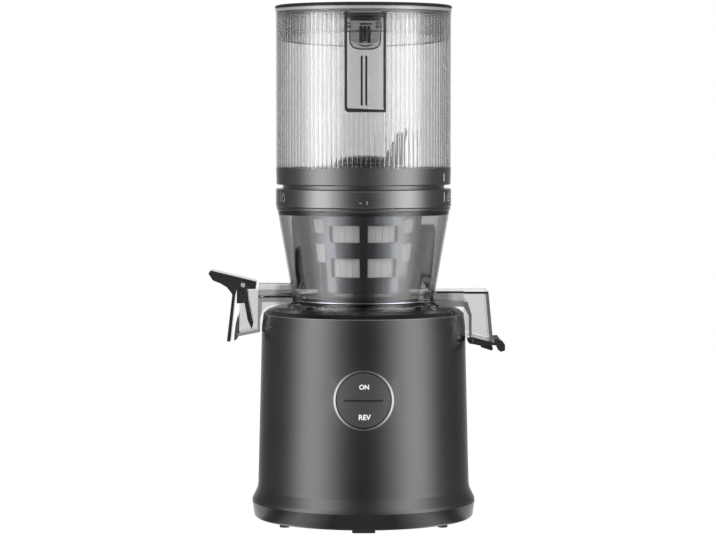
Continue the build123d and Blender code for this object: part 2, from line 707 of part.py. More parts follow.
def rocker_button():
    """Round face that follows the housing, with a groove and a stem on the pivot."""
    face_radius = BEZEL_RADIUS - BEZEL_WIDTH - BUTTON_GAP
    front = -body_radius(BUTTON_Z)
    face = rod_y(face_radius, BEZEL_RADIUS, 0, front, BUTTON_Z)
    face &= button_layer(BUTTON_THICKNESS, BUTTON_PROUD)
    skin = button_layer(GROOVE_DEPTH - BUTTON_PROUD, 2 * BUTTON_THICKNESS)
    half = GROOVE_LENGTH / 2
    groove = block(-half, half, front - BUTTON_THICKNESS, front + BUTTON_THICKNESS,
                   BUTTON_Z - GROOVE_WIDTH / 2, BUTTON_Z + GROOVE_WIDTH / 2)
    face -= groove & skin
    back = front + BUTTON_THICKNESS
    stem = block(-STEM_WIDTH / 2, STEM_WIDTH / 2, back - BUTTON_THICKNESS / 3, pivot_y(),
                 BUTTON_Z - STEM_HEIGHT / 2, BUTTON_Z + STEM_HEIGHT / 2)
    stem += rod_x(PIVOT_HUB_RADIUS, STEM_WIDTH, 0, pivot_y(), BUTTON_Z)
    for z in (BUTTON_Z - SWITCH_OFFSET, BUTTON_Z + SWITCH_OFFSET):
        root = back - BUTTON_THICKNESS / 2
        tip = back + PRESSER_LENGTH
        stem += rod_y(PRESSER_RADIUS, tip - root, 0, (tip + root) / 2, z)
    return face + stem + rod_x(PIVOT_RADIUS, PIVOT_LENGTH, 0, pivot_y(), BUTTON_Z)


def switch_box():
    """Open-fronted box on the back of the wall, with two ears for the pivot pin."""
    y0 = -body_radius(BUTTON_Z) + SWITCH_BOX_FRONT
    y1 = y0 + SWITCH_BOX_DEPTH
    half = BEZEL_RADIUS + SWITCH_BOX_MARGIN
    room = half - SWITCH_BOX_WALL
    box = block(-half, half, y0, y1, BUTTON_Z - half, BUTTON_Z + half)
    box -= block(-room, room, y0 - 1, y1 - SWITCH_BOX_WALL, BUTTON_Z - room, BUTTON_Z + room)
    ear_reach = PIVOT_RADIUS + PIVOT_EAR_WIDTH / 2
    for side in (-1, 1):
        x0 = side * PIVOT_EAR_X - PIVOT_EAR_WIDTH / 2
        box += block(x0, x0 + PIVOT_EAR_WIDTH, pivot_y() - ear_reach, y1,
                     BUTTON_Z - ear_reach - 1, BUTTON_Z + ear_reach + 1)
    inset = SHELL_WALL + RUN_GAP
    z0, z1 = BUTTON_Z - 1.5 * half, BUTTON_Z + 1.5 * half
    wall = turned(
        [(0, z0), (body_radius(z0) - inset, z0), (body_radius(z1) - inset, z1), (0, z1)]
    )
    box = box & wall
    return box - rod_x(PIVOT_RADIUS + SHAFT_GAP, 4 * PIVOT_EAR_X, 0, pivot_y(), BUTTON_Z)


def button_microswitches():
    front = -body_radius(BUTTON_Z)
    y1 = front + SWITCH_BOX_FRONT + SWITCH_BOX_DEPTH - SWITCH_BOX_WALL
    presser_back = front + BUTTON_THICKNESS + PRESSER_LENGTH
    y0 = presser_back + PLUNGER_REACH
    length = PLUNGER_REACH - SWITCH_STROKE
    switches = []
    for side in (-1, 1):
        z = BUTTON_Z + side * SWITCH_OFFSET
        body = block(-SWITCH_WIDTH / 2, SWITCH_WIDTH / 2, y0, y1, z - SWITCH_HEIGHT / 2,
                     z + SWITCH_HEIGHT / 2)
        plunger = rod_y(PLUNGER_RADIUS, length, 0, y0 - length / 2, z)
        switches.append(body + plunger)
    return switches


# ---------------------------------------------------------------- electrics
def control_board():
    half_x, half_y = BOARD_X + BOARD_MARGIN, BOARD_Y + BOARD_MARGIN
    return block(-half_x, half_x, -half_y, half_y, BOARD_Z, BOARD_Z + BOARD_THICKNESS)


def board_components():
    """Two capacitors, a relay, a transformer, a terminal block and a chip."""
    top = BOARD_Z + BOARD_THICKNESS
    cans = ((6.0, 9.0, -0.79, 0.5), (4.0, 8.0, -0.79, -0.33))
    boxes = (
        (18, 16, 6, -0.24, -0.5),
        (18, 16, 5, 0.39, 0.5),
        (14, 10, 8, 0.79, -0.54),
        (12, 12, 2, -0.26, 0.5),
    )
    parts = [disc(r, top, top + h, x * BOARD_X, y * BOARD_Y) for r, h, x, y in cans]
    for width, depth, height, x, y in boxes:
        place = Pos(x * BOARD_X, y * BOARD_Y, top)
        parts.append(place * Box(width, depth, height, align=BOTTOM))
    return parts


def cord_gland():
    wall_out = body_radius(GLAND_Z)
    inner_face = wall_out - SHELL_WALL
    lip_face = wall_out + GLAND_LIP + GLAND_SEAT
    nut_face = inner_face - GLAND_NUT - GLAND_SEAT_INSIDE
    neck = rod_y(GLAND_RADIUS, lip_face - nut_face - 1, 0, (lip_face + nut_face) / 2, GLAND_Z)
    lip = rod_y(GLAND_FLANGE, GLAND_LIP, 0, lip_face - GLAND_LIP / 2, GLAND_Z)
    nut = rod_y(GLAND_FLANGE, GLAND_NUT, 0, nut_face + GLAND_NUT / 2, GLAND_Z)
    return neck + lip + nut - rod_y(GLAND_BORE, 10 * GLAND_LIP, 0, inner_face, GLAND_Z)


# ---------------------------------------------------------------- motor
def motor_can():
    can = disc(MOTOR_RADIUS, MOTOR_Z0, MOTOR_Z1)
    can -= disc(MOTOR_RADIUS - MOTOR_WALL, MOTOR_Z0 - 1, MOTOR_Z1 - MOTOR_WALL)
    seat = ring(BEARING_RADIUS + BEARING_SEAT_WALL, BEARING_RADIUS, MOTOR_Z1 - MOTOR_WALL - BEARING_WIDTH,
                MOTOR_Z1 - MOTOR_WALL)
    slot = block(MOTOR_RADIUS - 4, MOTOR_RADIUS + 1, -5, 5, MOTOR_Z1 - 12, MOTOR_Z1 - 8)
    can = can + seat - disc(MOTOR_SHAFT_RADIUS + 1, MOTOR_Z1 - 3, MOTOR_Z1 + 1)
    return can - around(slot, 6)


def motor_end_bell():
    z0 = MOTOR_Z0 - END_BELL_THICKNESS
    bell = disc(MOTOR_RADIUS, z0, MOTOR_Z0)
    bell += disc(MOTOR_RADIUS - MOTOR_WALL, MOTOR_Z0, MOTOR_Z0 + 2)
    seat_z0 = z0 + END_BELL_THICKNESS / 2
    bell += disc(BEARING_RADIUS + BEARING_SEAT_WALL, MOTOR_Z0, seat_z0 + BEARING_WIDTH)
    bell -= disc(BEARING_RADIUS, seat_z0, MOTOR_Z0 + 10)
    bell -= disc(MOTOR_SHAFT_RADIUS + 1, z0 - 1, MOTOR_Z0 + 10)
    vent = block(MOTOR_RADIUS / 2, MOTOR_RADIUS - 6, -3, 3, z0 - 1, MOTOR_Z0 + 3)
    return bell - around(vent, 6)


def motor_bearings():
    low = MOTOR_Z0 - END_BELL_THICKNESS / 2
    high = MOTOR_Z1 - MOTOR_WALL - BEARING_WIDTH
    bore = MOTOR_SHAFT_RADIUS + SHAFT_GAP
    return [ring(BEARING_RADIUS, bore, z, z + BEARING_WIDTH) for z in (low, high)]


def stator_core():
    core = ring(MOTOR_RADIUS - MOTOR_WALL, STATOR_BORE, MOTOR_Z0 + STATOR_INSET,
                MOTOR_Z1 - STATOR_INSET)
    slot = disc(SLOT_RADIUS, MOTOR_Z0, MOTOR_Z1, STATOR_BORE + COIL_OFFSET, 0)
    mouth = block(STATOR_BORE - 2, STATOR_BORE + 3, -0.8, 0.8, MOTOR_Z0, MOTOR_Z1)
    return core - around(slot + mouth, STATOR_SLOTS, 180 / STATOR_SLOTS)


def stator_windings():
    middle = STATOR_BORE + COIL_OFFSET
    half = WINDING_WIDTH / 2
    coils = []
    for z0 in (MOTOR_Z0 + STATOR_INSET - WINDING_HEIGHT, MOTOR_Z1 - STATOR_INSET):
        coil = ring(middle + half, middle - half, z0, z0 + WINDING_HEIGHT)
        coils.append(fillet(coil.edges(), half / 2))
    return coils


def motor_mount_plate():
    z0, z1 = MOUNT_PLATE_Z0, MOUNT_PLATE_Z0 + MOUNT_PLATE_THICKNESS
    plate = disc(BUSH_CIRCLE + MOUNT_PLATE_MARGIN, z0, z1)
    plate -= disc(BEARING_RADIUS, z0 - 1, z1 + 1)
    return plate


def bush_places():
    return [on_circle(BUSH_CIRCLE, angle) for angle in BUSH_ANGLES]


def motor_mount_bushes():
    z0 = MOUNT_PLATE_Z0 + MOUNT_PLATE_THICKNESS
    return [ring(BUSH_RADIUS, BUSH_BORE, z0, CASE_Z0, x, y) for x, y in bush_places()]


def motor_shaft():
    low = fan_top() - FAN_HEIGHT - 2
    return disc(MOTOR_SHAFT_RADIUS, low, PLATE_Z0 - GEAR_GAP / 2)


def fan_top():
    return MOTOR_Z0 - END_BELL_THICKNESS - 3


def rotor_core():
    z0, z1 = MOTOR_Z0 + STATOR_INSET, MOTOR_Z1 - STATOR_INSET
    core = ring(ROTOR_RADIUS, MOTOR_SHAFT_RADIUS, z0, z1)
    core += ring(ROTOR_RADIUS - 3, ROTOR_RADIUS - 8, z0 - 4, z1 + 4)
    return core


def cooling_fan():
    z1 = fan_top()
    z0 = z1 - FAN_HEIGHT
    hub = ring(FAN_HUB_RADIUS, MOTOR_SHAFT_RADIUS, z0, z1)
    disc_plate = ring(FAN_RADIUS, FAN_HUB_RADIUS - 2, z1 - FAN_PLATE, z1)
    half = FAN_BLADE_THICKNESS / 2
    blade = block(FAN_HUB_RADIUS - 1, FAN_RADIUS - 0.5, -half, half, z0, z1)
    return hub + disc_plate + around(blade, FAN_BLADES)


def motor_pinion():
    z0, z1 = STAGE1_Z0 - PINION_OVERHANG, STAGE1_Z0 + STAGE1_WIDTH + 0.4
    phase = meshing_phase(WHEEL_TEETH, 0, PINION_TEETH, 270)
    return gear(PINION_TEETH, z0, z1, MOTOR_SHAFT_RADIUS, phase)


# ---------------------------------------------------------------- gearbox
def gearbox_outline(radius, z0, z1):
    """Two round ends, about the drive axis and the idler axis, and what joins them."""
    ends = disc(radius, z0, z1) + disc(radius, z0, z1, 0, CENTRE_DISTANCE)
    return ends + block(-radius, radius, 0, CENTRE_DISTANCE, z0, z1)


def gearbox_screw_places():
    reach = CASE_INNER + GEARBOX_WALL + BOSS_MARGIN
    places = (GEARBOX_SCREW_INSET, CENTRE_DISTANCE - GEARBOX_SCREW_INSET)
    return [(side * reach, y) for y in places for side in (-1, 1)]


def gearbox_case():
    outer = CASE_INNER + GEARBOX_WALL
    case = gearbox_outline(outer, CASE_Z0, CASE_Z1)
    case -= gearbox_outline(CASE_INNER, CASE_Z0 + GEARBOX_WALL, CASE_Z1 + 1)
    ledge = gearbox_outline(CASE_INNER + 0.5, CASE_Z0 + GEARBOX_WALL, PLATE_Z0)
    case += ledge - gearbox_outline(CASE_INNER - 1, CASE_Z0, PLATE_Z0 + 1)
    for x, y in gearbox_screw_places():
        case += disc(BOSS_RADIUS, CASE_Z1 - BOSS_HEIGHT, CASE_Z1, x, y)
        case -= disc(SCREW_RADIUS + SHAFT_GAP, CASE_Z0, CASE_Z1 + 1, x, y)
    case += disc(AXLE_RADIUS + AXLE_BOSS_WALL, CASE_Z0 + GEARBOX_WALL,
                 STAGE1_Z0 - 2 * REST_GAP, 0, CENTRE_DISTANCE)
    case -= disc(AXLE_RADIUS, CASE_Z0 + 1, CASE_Z1, 0, CENTRE_DISTANCE)
    case -= disc(MOTOR_SHAFT_RADIUS + 1, CASE_Z0 - 1, CASE_Z0 + 10)
    return case


def gearbox_plate():
    """Plate between the stages; it carries the drive shaft's lower end."""
    plate = gearbox_outline(CASE_INNER - SHAFT_GAP, PLATE_Z0, PLATE_Z0 + PLATE_THICKNESS)
    pinion_hole = MODULE * (PINION_TEETH / 2 + ADDENDUM) + JOURNAL_WALL
    plate -= disc(pinion_hole, 0, CASE_Z1, 0, CENTRE_DISTANCE)
    return plate - disc(JOURNAL_RADIUS + JOURNAL_WALL, 0, CASE_Z1)


def gearbox_cover():
    outer = CASE_INNER + GEARBOX_WALL
    cover = gearbox_outline(outer, CASE_Z1, COVER_Z1)
    for x, y in gearbox_screw_places():
        cover += disc(BOSS_RADIUS, CASE_Z1, COVER_Z1, x, y)
        cover -= disc(SCREW_RADIUS + SHAFT_GAP, CASE_Z1 - 1, COVER_Z1 + 1, x, y)
    bore = DRIVE_RADIUS + BUSH_WALL
    cover += disc(bore + BUSH_WALL, CASE_Z1, COVER_Z1 + BUSH_BOSS_HEIGHT)
    cover -= disc(bore, CASE_Z1 - 1, COVER_Z1 + BUSH_BOSS_HEIGHT + 1)
    return cover - disc(AXLE_RADIUS, CASE_Z1 - 1, COVER_Z1 + 1, 0, CENTRE_DISTANCE)


def idler_axle():
    return disc(AXLE_RADIUS, CASE_Z0 + 1, COVER_Z1, 0, CENTRE_DISTANCE)


def web(z0, z1):
    """What is taken off both faces of a wheel between its hub and its rim."""
    rim = MODULE * WHEEL_TEETH / 2 - WEB_RIM
    low = ring(rim, WEB_HUB, z0 - 1, z0 + WEB_DEPTH)
    return low + ring(rim, WEB_HUB, z1 - WEB_DEPTH, z1 + 1)


def idler_gear():
    """Wheel of the first stage and pinion of the second, in one piece."""
    bore = AXLE_RADIUS + SHAFT_GAP
    z1 = STAGE1_Z0 + STAGE1_WIDTH
    wheel = gear(WHEEL_TEETH, STAGE1_Z0, z1, bore) - web(STAGE1_Z0, z1)
    phase = meshing_phase(WHEEL_TEETH, 0, PINION_TEETH, 90)
    pinion = gear(PINION_TEETH, STAGE2_Z0 - PINION_OVERHANG,
                  STAGE2_Z0 + STAGE2_WIDTH + PINION_OVERHANG, bore, phase)
    shank = ring(MODULE * (PINION_TEETH / 2 - DEDENDUM), bore, z1, STAGE2_Z0)
    return Pos(0, CENTRE_DISTANCE, 0) * (wheel + shank + pinion)


def output_gear():
    z1 = STAGE2_Z0 + STAGE2_WIDTH
    return gear(WHEEL_TEETH, STAGE2_Z0, z1, DRIVE_RADIUS) - web(STAGE2_Z0, z1)


def hex_prism(across, z0, z1):
    face = RegularPolygon(across / 2, 6, major_radius=False)
    return Pos(0, 0, z0) * extrude(face, z1 - z0)


def drive_shaft():
    shaft = disc(JOURNAL_RADIUS, PLATE_Z0 + REST_GAP, STAGE2_Z0)
    shaft += disc(DRIVE_RADIUS, STAGE2_Z0, FLOOR_Z1)
    tip = hex_prism(HEX_ACROSS, FLOOR_Z1, HEX_TOP_Z)
    return shaft + chamfer(tip.faces().sort_by(Axis.Z)[-1].edges(), 1.0)


def drive_bushes():
    """Lower and upper bush of the drive shaft, and the thrust washer above its gear."""
    lower = ring(JOURNAL_RADIUS + JOURNAL_WALL, JOURNAL_RADIUS + SHAFT_GAP, PLATE_Z0,
                 PLATE_Z0 + PLATE_THICKNESS)
    upper = ring(DRIVE_RADIUS + BUSH_WALL, DRIVE_RADIUS + SHAFT_GAP, CASE_Z1,
                 COVER_Z1 + BUSH_BOSS_HEIGHT)
    washer = ring(DRIVE_RADIUS + SEAL_WIDTH, DRIVE_RADIUS + SHAFT_GAP,
                  STAGE2_Z0 + STAGE2_WIDTH + REST_GAP, CASE_Z1 - REST_GAP)
    return [lower, upper, washer]


def shaft_seal():
    """Rubber lip seal between the deck and the drive shaft."""
    return ring(DRIVE_RADIUS + SEAL_WIDTH, DRIVE_RADIUS + RUN_GAP, DECK_UNDER_Z, DECK_Z)


# ---------------------------------------------------------------- chamber
def spout_outline(grow):
    """Side view of the juice spout's walls; grow moves it inward for the cavity."""
    return [
        (SPOUT_TIP_X - (2 if grow else 0), SPOUT_TOP_Z - grow),
        (TUBE_END_X, SPOUT_TOP_Z - grow),
        (-body_radius(BODY_TOP_Z) - BODY_CLEARANCE - grow, SHOULDER_Z - 4),
        (-body_radius(SPOUT_HEEL_Z) - BODY_CLEARANCE - grow, SPOUT_HEEL_Z + grow),
        (SPOUT_LIP_X - (3 if grow else 0), SPOUT_LIP_Z + grow),
    ]


def juice_spout():
    """Tube from the bowl, opening into a scoop that pours down the housing's side."""
    inner_x = -bowl_radius(TUBE_Z) + 1.5
    roof = SPOUT_TOP_Z - SPOUT_WALL
    bridge = side_plate(
        [
            (inner_x, SPOUT_TOP_Z),
            (TUBE_END_X, SPOUT_TOP_Z),
            (-body_radius(BODY_TOP_Z) - BODY_CLEARANCE - SPOUT_WALL, SHOULDER_Z - 4),
            (-body_radius(BODY_TOP_Z) - BODY_CLEARANCE, SHOULDER_Z - 4),
            (-SHOULDER_RADIUS - BODY_CLEARANCE, SHOULDER_Z + 1),
            (-SHOULDER_RADIUS + 3, SHOULDER_Z + 4.2),
            (-DECK_RADIUS, CHAMBER_Z0 + 0.8),
            (inner_x, CHAMBER_Z0 + 0.8),
        ],
        SPOUT_HALF_WIDTH,
    )
    pocket = side_plate(
        [
            (inner_x - 5, roof - 7.4),
            (TUBE_END_X + 3, roof - 7.4),
            (-BODY_TOP_RADIUS - 0.2, SHOULDER_Z - 10),
            (-BODY_TOP_RADIUS + 3, SHOULDER_Z - 10),
            (-DECK_RADIUS, CHAMBER_Z0 - 8),
            (inner_x - 5, CHAMBER_Z0 - 8),
        ],
        SPOUT_HALF_WIDTH - SPOUT_WALL,
    )
    scoop = side_plate(spout_outline(0), SPOUT_HALF_WIDTH)
    scoop -= side_plate(spout_outline(SPOUT_WALL), SPOUT_HALF_WIDTH - SPOUT_WALL)
    length = -TUBE_END_X + inner_x
    tube = Pos(inner_x - length / 2, 0, TUBE_Z) * Rot(0, 90, 0) * Cylinder(TUBE_RADIUS, length)
    ears = []
    for side in (-1, 1):
        y = side * (SPOUT_HALF_WIDTH - SPOUT_WALL / 2)
        ear = block(CAP_PIVOT_X - CAP_PIN_RADIUS, CAP_PIVOT_X + CAP_EAR_RADIUS,
                    y - SPOUT_WALL / 2, y + SPOUT_WALL / 2, SPOUT_TOP_Z - 1, CAP_PIVOT_Z)
        ear += rod_y(CAP_EAR_RADIUS, SPOUT_WALL, CAP_PIVOT_X, y, CAP_PIVOT_Z)
        ears.append(ear)
    return bridge - pocket + scoop + tube + ears


def spout_cuts():
    """Bore of the juice tube, and the holes for the cap's pin."""
    start = -bowl_radius(TUBE_Z) + 8
    length = start - TUBE_END_X + 4
    bore = Pos(start - length / 2, 0, TUBE_Z) * Rot(0, 90, 0) * Cylinder(TUBE_BORE, length)
    pin = rod_y(CAP_PIN_RADIUS, 3 * SPOUT_HALF_WIDTH, CAP_PIVOT_X, 0, CAP_PIVOT_Z)
    half = SPOUT_HALF_WIDTH - SPOUT_WALL
    roof = block(SPOUT_LIP_X - 5, TUBE_END_X - 0.4, -half, half,
                 SPOUT_TOP_Z - SPOUT_WALL - 1, SPOUT_TOP_Z + 1)
    return bore + pin + roof


def chute_outer():
    """Side view of the pulp chute's drop, outside its walls."""
    return [
        (CHUTE_INNER_X - 4, CHUTE_TOP_Z),
        (CHUTE_OUTER_X, CHUTE_TOP_Z),
        (CHUTE_FOOT_X, CHUTE_FOOT_Z),
        (CHUTE_INNER_X, CHUTE_HEEL_Z),
        (CHUTE_INNER_X, SHOULDER_Z - 1),
        (CHUTE_INNER_X - 4, DECK_Z + 1.2),
    ]


def chute_inner():
    wall = CHUTE_WALL
    return [
        (CHUTE_INNER_X - 6, CHUTE_TOP_Z - DUCT_TOP_WALL),
        (CHUTE_OUTER_X - wall, CHUTE_TOP_Z - DUCT_TOP_WALL),
        (CHUTE_FOOT_X - wall, CHUTE_FOOT_Z - 6),
        (CHUTE_INNER_X + wall, CHUTE_HEEL_Z - 6),
        (CHUTE_INNER_X + wall, SHOULDER_Z),
        (CHUTE_INNER_X - 1, FLOOR_Z1),
        (CHUTE_INNER_X - 6, FLOOR_Z1),
    ]


def foot_line(x):
    """Height of the chute's sloping foot at x."""
    return CHUTE_FOOT_Z + CHUTE_FOOT_SLOPE * (CHUTE_FOOT_X - x)


def chute_cheeks():
    """Side walls of the chute, carried on past its inner wall to lie beside the housing."""
    overlap_x = CHUTE_INNER_X + 1
    side = [
        (CHEEK_X, CHUTE_TOP_Z),
        (overlap_x, CHUTE_TOP_Z),
        (overlap_x, foot_line(overlap_x)),
        (CHEEK_X, foot_line(CHEEK_X)),
    ]
    return side_plate(side, CHUTE_HALF_WIDTH) - side_plate(side, CHUTE_HALF_WIDTH - CHUTE_WALL)


def pulp_chute():
    inner_x = bowl_radius(TUBE_Z) - 1.5
    drop = side_plate(chute_outer(), CHUTE_HALF_WIDTH)
    drop -= side_plate(chute_inner(), CHUTE_HALF_WIDTH - CHUTE_WALL)
    drop += chute_cheeks()
    half = CHUTE_HALF_WIDTH - 3 * DUCT_SIDE_WALL
    lead = block(inner_x, CHUTE_INNER_X - 4, -half, half, CHAMBER_Z0 + 0.8, CHUTE_TOP_Z)
    ears = []
    for side in (-1, 1):
        y = side * (CHUTE_HALF_WIDTH - CHUTE_EAR_WIDTH / 2)
        ear = block(CHUTE_INNER_X, DOOR_PIVOT_X + DOOR_EAR_RADIUS, y - CHUTE_EAR_WIDTH / 2,
                    y + CHUTE_EAR_WIDTH / 2, DOOR_PIVOT_Z, CHUTE_HEEL_Z + 6)
        ear += rod_y(DOOR_EAR_RADIUS, CHUTE_EAR_WIDTH, DOOR_PIVOT_X, y, DOOR_PIVOT_Z)
        ears.append(ear & block(CHUTE_INNER_X - 0.2, 2 * CHUTE_OUTER_X, -CHUTE_OUTER_X,
                                CHUTE_OUTER_X, 0, HOPPER_TOP_Z))
    return drop + lead + ears


def pulp_cuts():
    """Duct from under the strainer to the chute, and the door pin's holes."""
    half = DUCT_HALF_WIDTH - DUCT_SIDE_WALL
    duct = block(PULP_PIPE_X0 + PULP_PIPE_WALL, CHUTE_INNER_X, -half, half, FLOOR_Z1,
                 CHUTE_TOP_Z - DUCT_TOP_WALL)
    pin = rod_y(DOOR_PIN_RADIUS, 3 * CHUTE_HALF_WIDTH, DOOR_PIVOT_X, 0, DOOR_PIVOT_Z)
    return duct + pin


def bowl_shell():
    rim_z = RING_Z0
    top = rim_z - BOWL_RIM_HEIGHT
    return turned(
        [
            (HUB_BORE + SEAL_WALL, FLOOR_Z0),
            (BOWL_LOW_RADIUS - 1, FLOOR_Z0),
            (BOWL_LOW_RADIUS - 1, CHAMBER_Z0),
            (FOOT_FLANGE_RADIUS, CHAMBER_Z0),
            (FOOT_FLANGE_RADIUS, CHAMBER_Z0 + FOOT_FLANGE_HEIGHT - 0.8),
            (FOOT_FLANGE_RADIUS - 1.2, CHAMBER_Z0 + FOOT_FLANGE_HEIGHT),
            (BOWL_LOW_RADIUS + 1.6, CHAMBER_Z0 + FOOT_FLANGE_HEIGHT),
            (BOWL_LOW_RADIUS, BOWL_LOW_Z),
            (BOWL_TOP_RADIUS, top),
            (BOWL_TOP_RADIUS, rim_z),
            (LEDGE_RADIUS, rim_z),
            (LEDGE_RADIUS, rim_z - 2),
            (BOWL_TOP_RADIUS - BOWL_WALL, rim_z - 6),
            (BOWL_LOW_RADIUS - BOWL_WALL + 0.4, BOWL_LOW_Z + 3),
            (BOWL_LOW_RADIUS - BOWL_WALL - 2.6, FLOOR_Z1),
            (HUB_BORE + SEAL_WALL, FLOOR_Z1),
        ]
    )


def pulp_tunnel():
    """Covered channel on the floor, from the strainer's outlet to the bowl's wall."""
    tunnel = block(PULP_PIPE_X0, bowl_radius(TUBE_Z) - 1, -DUCT_HALF_WIDTH, DUCT_HALF_WIDTH,
                   FLOOR_Z1 - 1, WIPER_GEAR_Z0 - RUN_GAP - 0.1)
    mouth = block(PULP_PIPE_X0 - 0.1 + PULP_PIPE_WALL, PULP_PIPE_X1 + 0.1,
                  -PULP_PIPE_HALF_WIDTH, PULP_PIPE_HALF_WIDTH, FLOOR_Z1, WIPER_GEAR_Z0 + 1)
    return tunnel, mouth


def chamber_bowl():
    tunnel, mouth = pulp_tunnel()
    bowl = bowl_shell() + juice_spout() + pulp_chute() + tunnel
    lug = ring(FOOT_FLANGE_RADIUS + LUG_REACH, FOOT_FLANGE_RADIUS - 1, CHAMBER_Z0,
               CHAMBER_Z0 + FOOT_FLANGE_HEIGHT - 0.3)
    for angle in LUG_ANGLES:
        bowl += lug & wedge(angle, LUG_HALF_ANGLE, BASE_RADIUS, SHOULDER_Z, BOWL_LOW_Z)
    bowl += disc(WIPER_PIN_BOSS, FLOOR_Z1 - 1, WIPER_GEAR_Z0 - 0.4, 0, WIPER_IDLER_Y)
    bowl -= disc(WIPER_PIN_RADIUS, FLOOR_Z1 + 1, STRAINER_Z0, 0, WIPER_IDLER_Y)
    bowl = bowl - spout_cuts() - pulp_cuts() - mouth
    return bowl


def chamber_ring():
    collar = ring(RING_RADIUS, RING_BORE, RING_Z0, RING_TOP_Z)
    rims = collar.edges().filter_by(GeomType.CIRCLE)
    outer = [e for e in rims if e.radius > RING_RADIUS - 0.1]
    return chamfer(outer, 0.6)


def hub_seal():
    """Rubber bush in the bowl's floor; the auger's sleeve turns in it."""
    seal = ring(HUB_BORE + SEAL_WALL, HUB_BORE, FLOOR_Z0, FLOOR_Z1)
    return seal + ring(HUB_BORE + SEAL_WALL + 0.6, HUB_BORE, FLOOR_Z1, FLOOR_Z1 + 1.4)


def wiper_seat_ring():
    """Upstand on the bowl's floor that the wiper cage runs on."""
    outer = cage_radius(WIPER_GEAR_Z0)
    seat = ring(outer, outer - WIPER_SEAT_WIDTH, FLOOR_Z1, WIPER_GEAR_Z0 - REST_GAP)
    tunnel_side = DUCT_HALF_WIDTH + REST_GAP
    return seat - block(0, 2 * outer, -tunnel_side, tunnel_side, FLOOR_Z1 - 1,
                        WIPER_GEAR_Z0 + 1)


def chamber_pins():
    """Steel pins of the wiper's idler gear, the juice cap and the pulp door."""
    idler = disc(WIPER_PIN_RADIUS, FLOOR_Z1 + 1, WIPER_GEAR_Z1 + 0.6, 0, WIPER_IDLER_Y)
    cap_length = 2 * (SPOUT_HALF_WIDTH + PIN_OVERHANG)
    cap = rod_y(CAP_PIN_RADIUS, cap_length, CAP_PIVOT_X, 0, CAP_PIVOT_Z)
    door_length = 2 * (CHUTE_HALF_WIDTH + PIN_OVERHANG)
    door = rod_y(DOOR_PIN_RADIUS, door_length, DOOR_PIVOT_X, 0, DOOR_PIVOT_Z)
    return [idler, cap, door]


def spout_lip():
    """Lens-shaped rubber lip below the spout's mouth, that the cap's flap meets."""
    outline = Polyline(
        (SPOUT_LIP_X + 0.7, 0, SPOUT_LIP_Z + 17.9),
        (SPOUT_LIP_X - 1.2, 0, SPOUT_LIP_Z + 10.4),
        (SPOUT_LIP_X - 2.2, 0, SPOUT_LIP_Z + 2.4),
        (SPOUT_LIP_X - 2.6, 0, SPOUT_LIP_Z - 3.2),
        (SPOUT_LIP_X - 0.4, 0, SPOUT_LIP_Z - 2.2),
        (SPOUT_LIP_X, 0, SPOUT_LIP_Z),
        (SPOUT_LIP_X + 0.3, 0, SPOUT_LIP_Z + 2.4),
        (SPOUT_LIP_X + 0.35, 0, SPOUT_LIP_Z + 5.4),
        close=True,
    )
    slab = extrude(make_face(outline), SPOUT_HALF_WIDTH, dir=(0, 1, 0), both=True)
    edge = side_plate([(SPOUT_LIP_X - 9, RING_Z0), (SPOUT_TIP_X, SPOUT_TOP_Z),
                       (SPOUT_LIP_X, SPOUT_LIP_Z), (SPOUT_LIP_X, SPOUT_LIP_Z - 8),
                       (SPOUT_LIP_X - 9, SPOUT_LIP_Z - 8)], 3 * SPOUT_HALF_WIDTH)
    half = SPOUT_HALF_WIDTH - SPOUT_WALL
    passage = block(SPOUT_LIP_X - 9, SPOUT_LIP_X + 5, -half, half, SPOUT_LIP_Z + 1.9,
                    RING_Z0)
    return (slab & edge) - passage


def strainer():
    """Slotted cone that hangs from the bowl's rim by its flange."""
    z0, z1 = STRAINER_Z0, RING_Z0
    wall = STRAINER_WALL
    lo, hi = strainer_radius(z0), strainer_radius(z1)
    cone = turned(
        [
            (HUB_BORE, z0),
            (lo, z0),
            (hi, z1),
            (RING_BORE - RUN_GAP, z1),
            (RING_BORE - RUN_GAP, FLANGE_TOP_Z),
            (hi - wall, FLANGE_TOP_Z),
            (lo - wall, z0 + STRAINER_FLOOR),
            (HUB_BORE, z0 + STRAINER_FLOOR),
        ]
    )
    slot = block(lo / 2, 2 * hi, -SLOT_WIDTH / 2, SLOT_WIDTH / 2, z0 + SLOT_FOOT,
                 z1 - SLOT_HEAD)
    cone -= around(slot, STRAINER_SLOTS, 180 / STRAINER_SLOTS)
    x0, x1, half = PULP_PIPE_X0, PULP_PIPE_X1, PULP_PIPE_HALF_WIDTH
    wall = PULP_PIPE_WALL
    cone += block(x0 + wall, x1, -half + REST_GAP, half - REST_GAP, WIPER_GEAR_Z0 - 1.6,
                  z0 + 1)
    cone -= block(x0 + 2 * wall, x1 - wall, -half + wall, half - wall, DECK_Z, z0 + 10)
    return cone


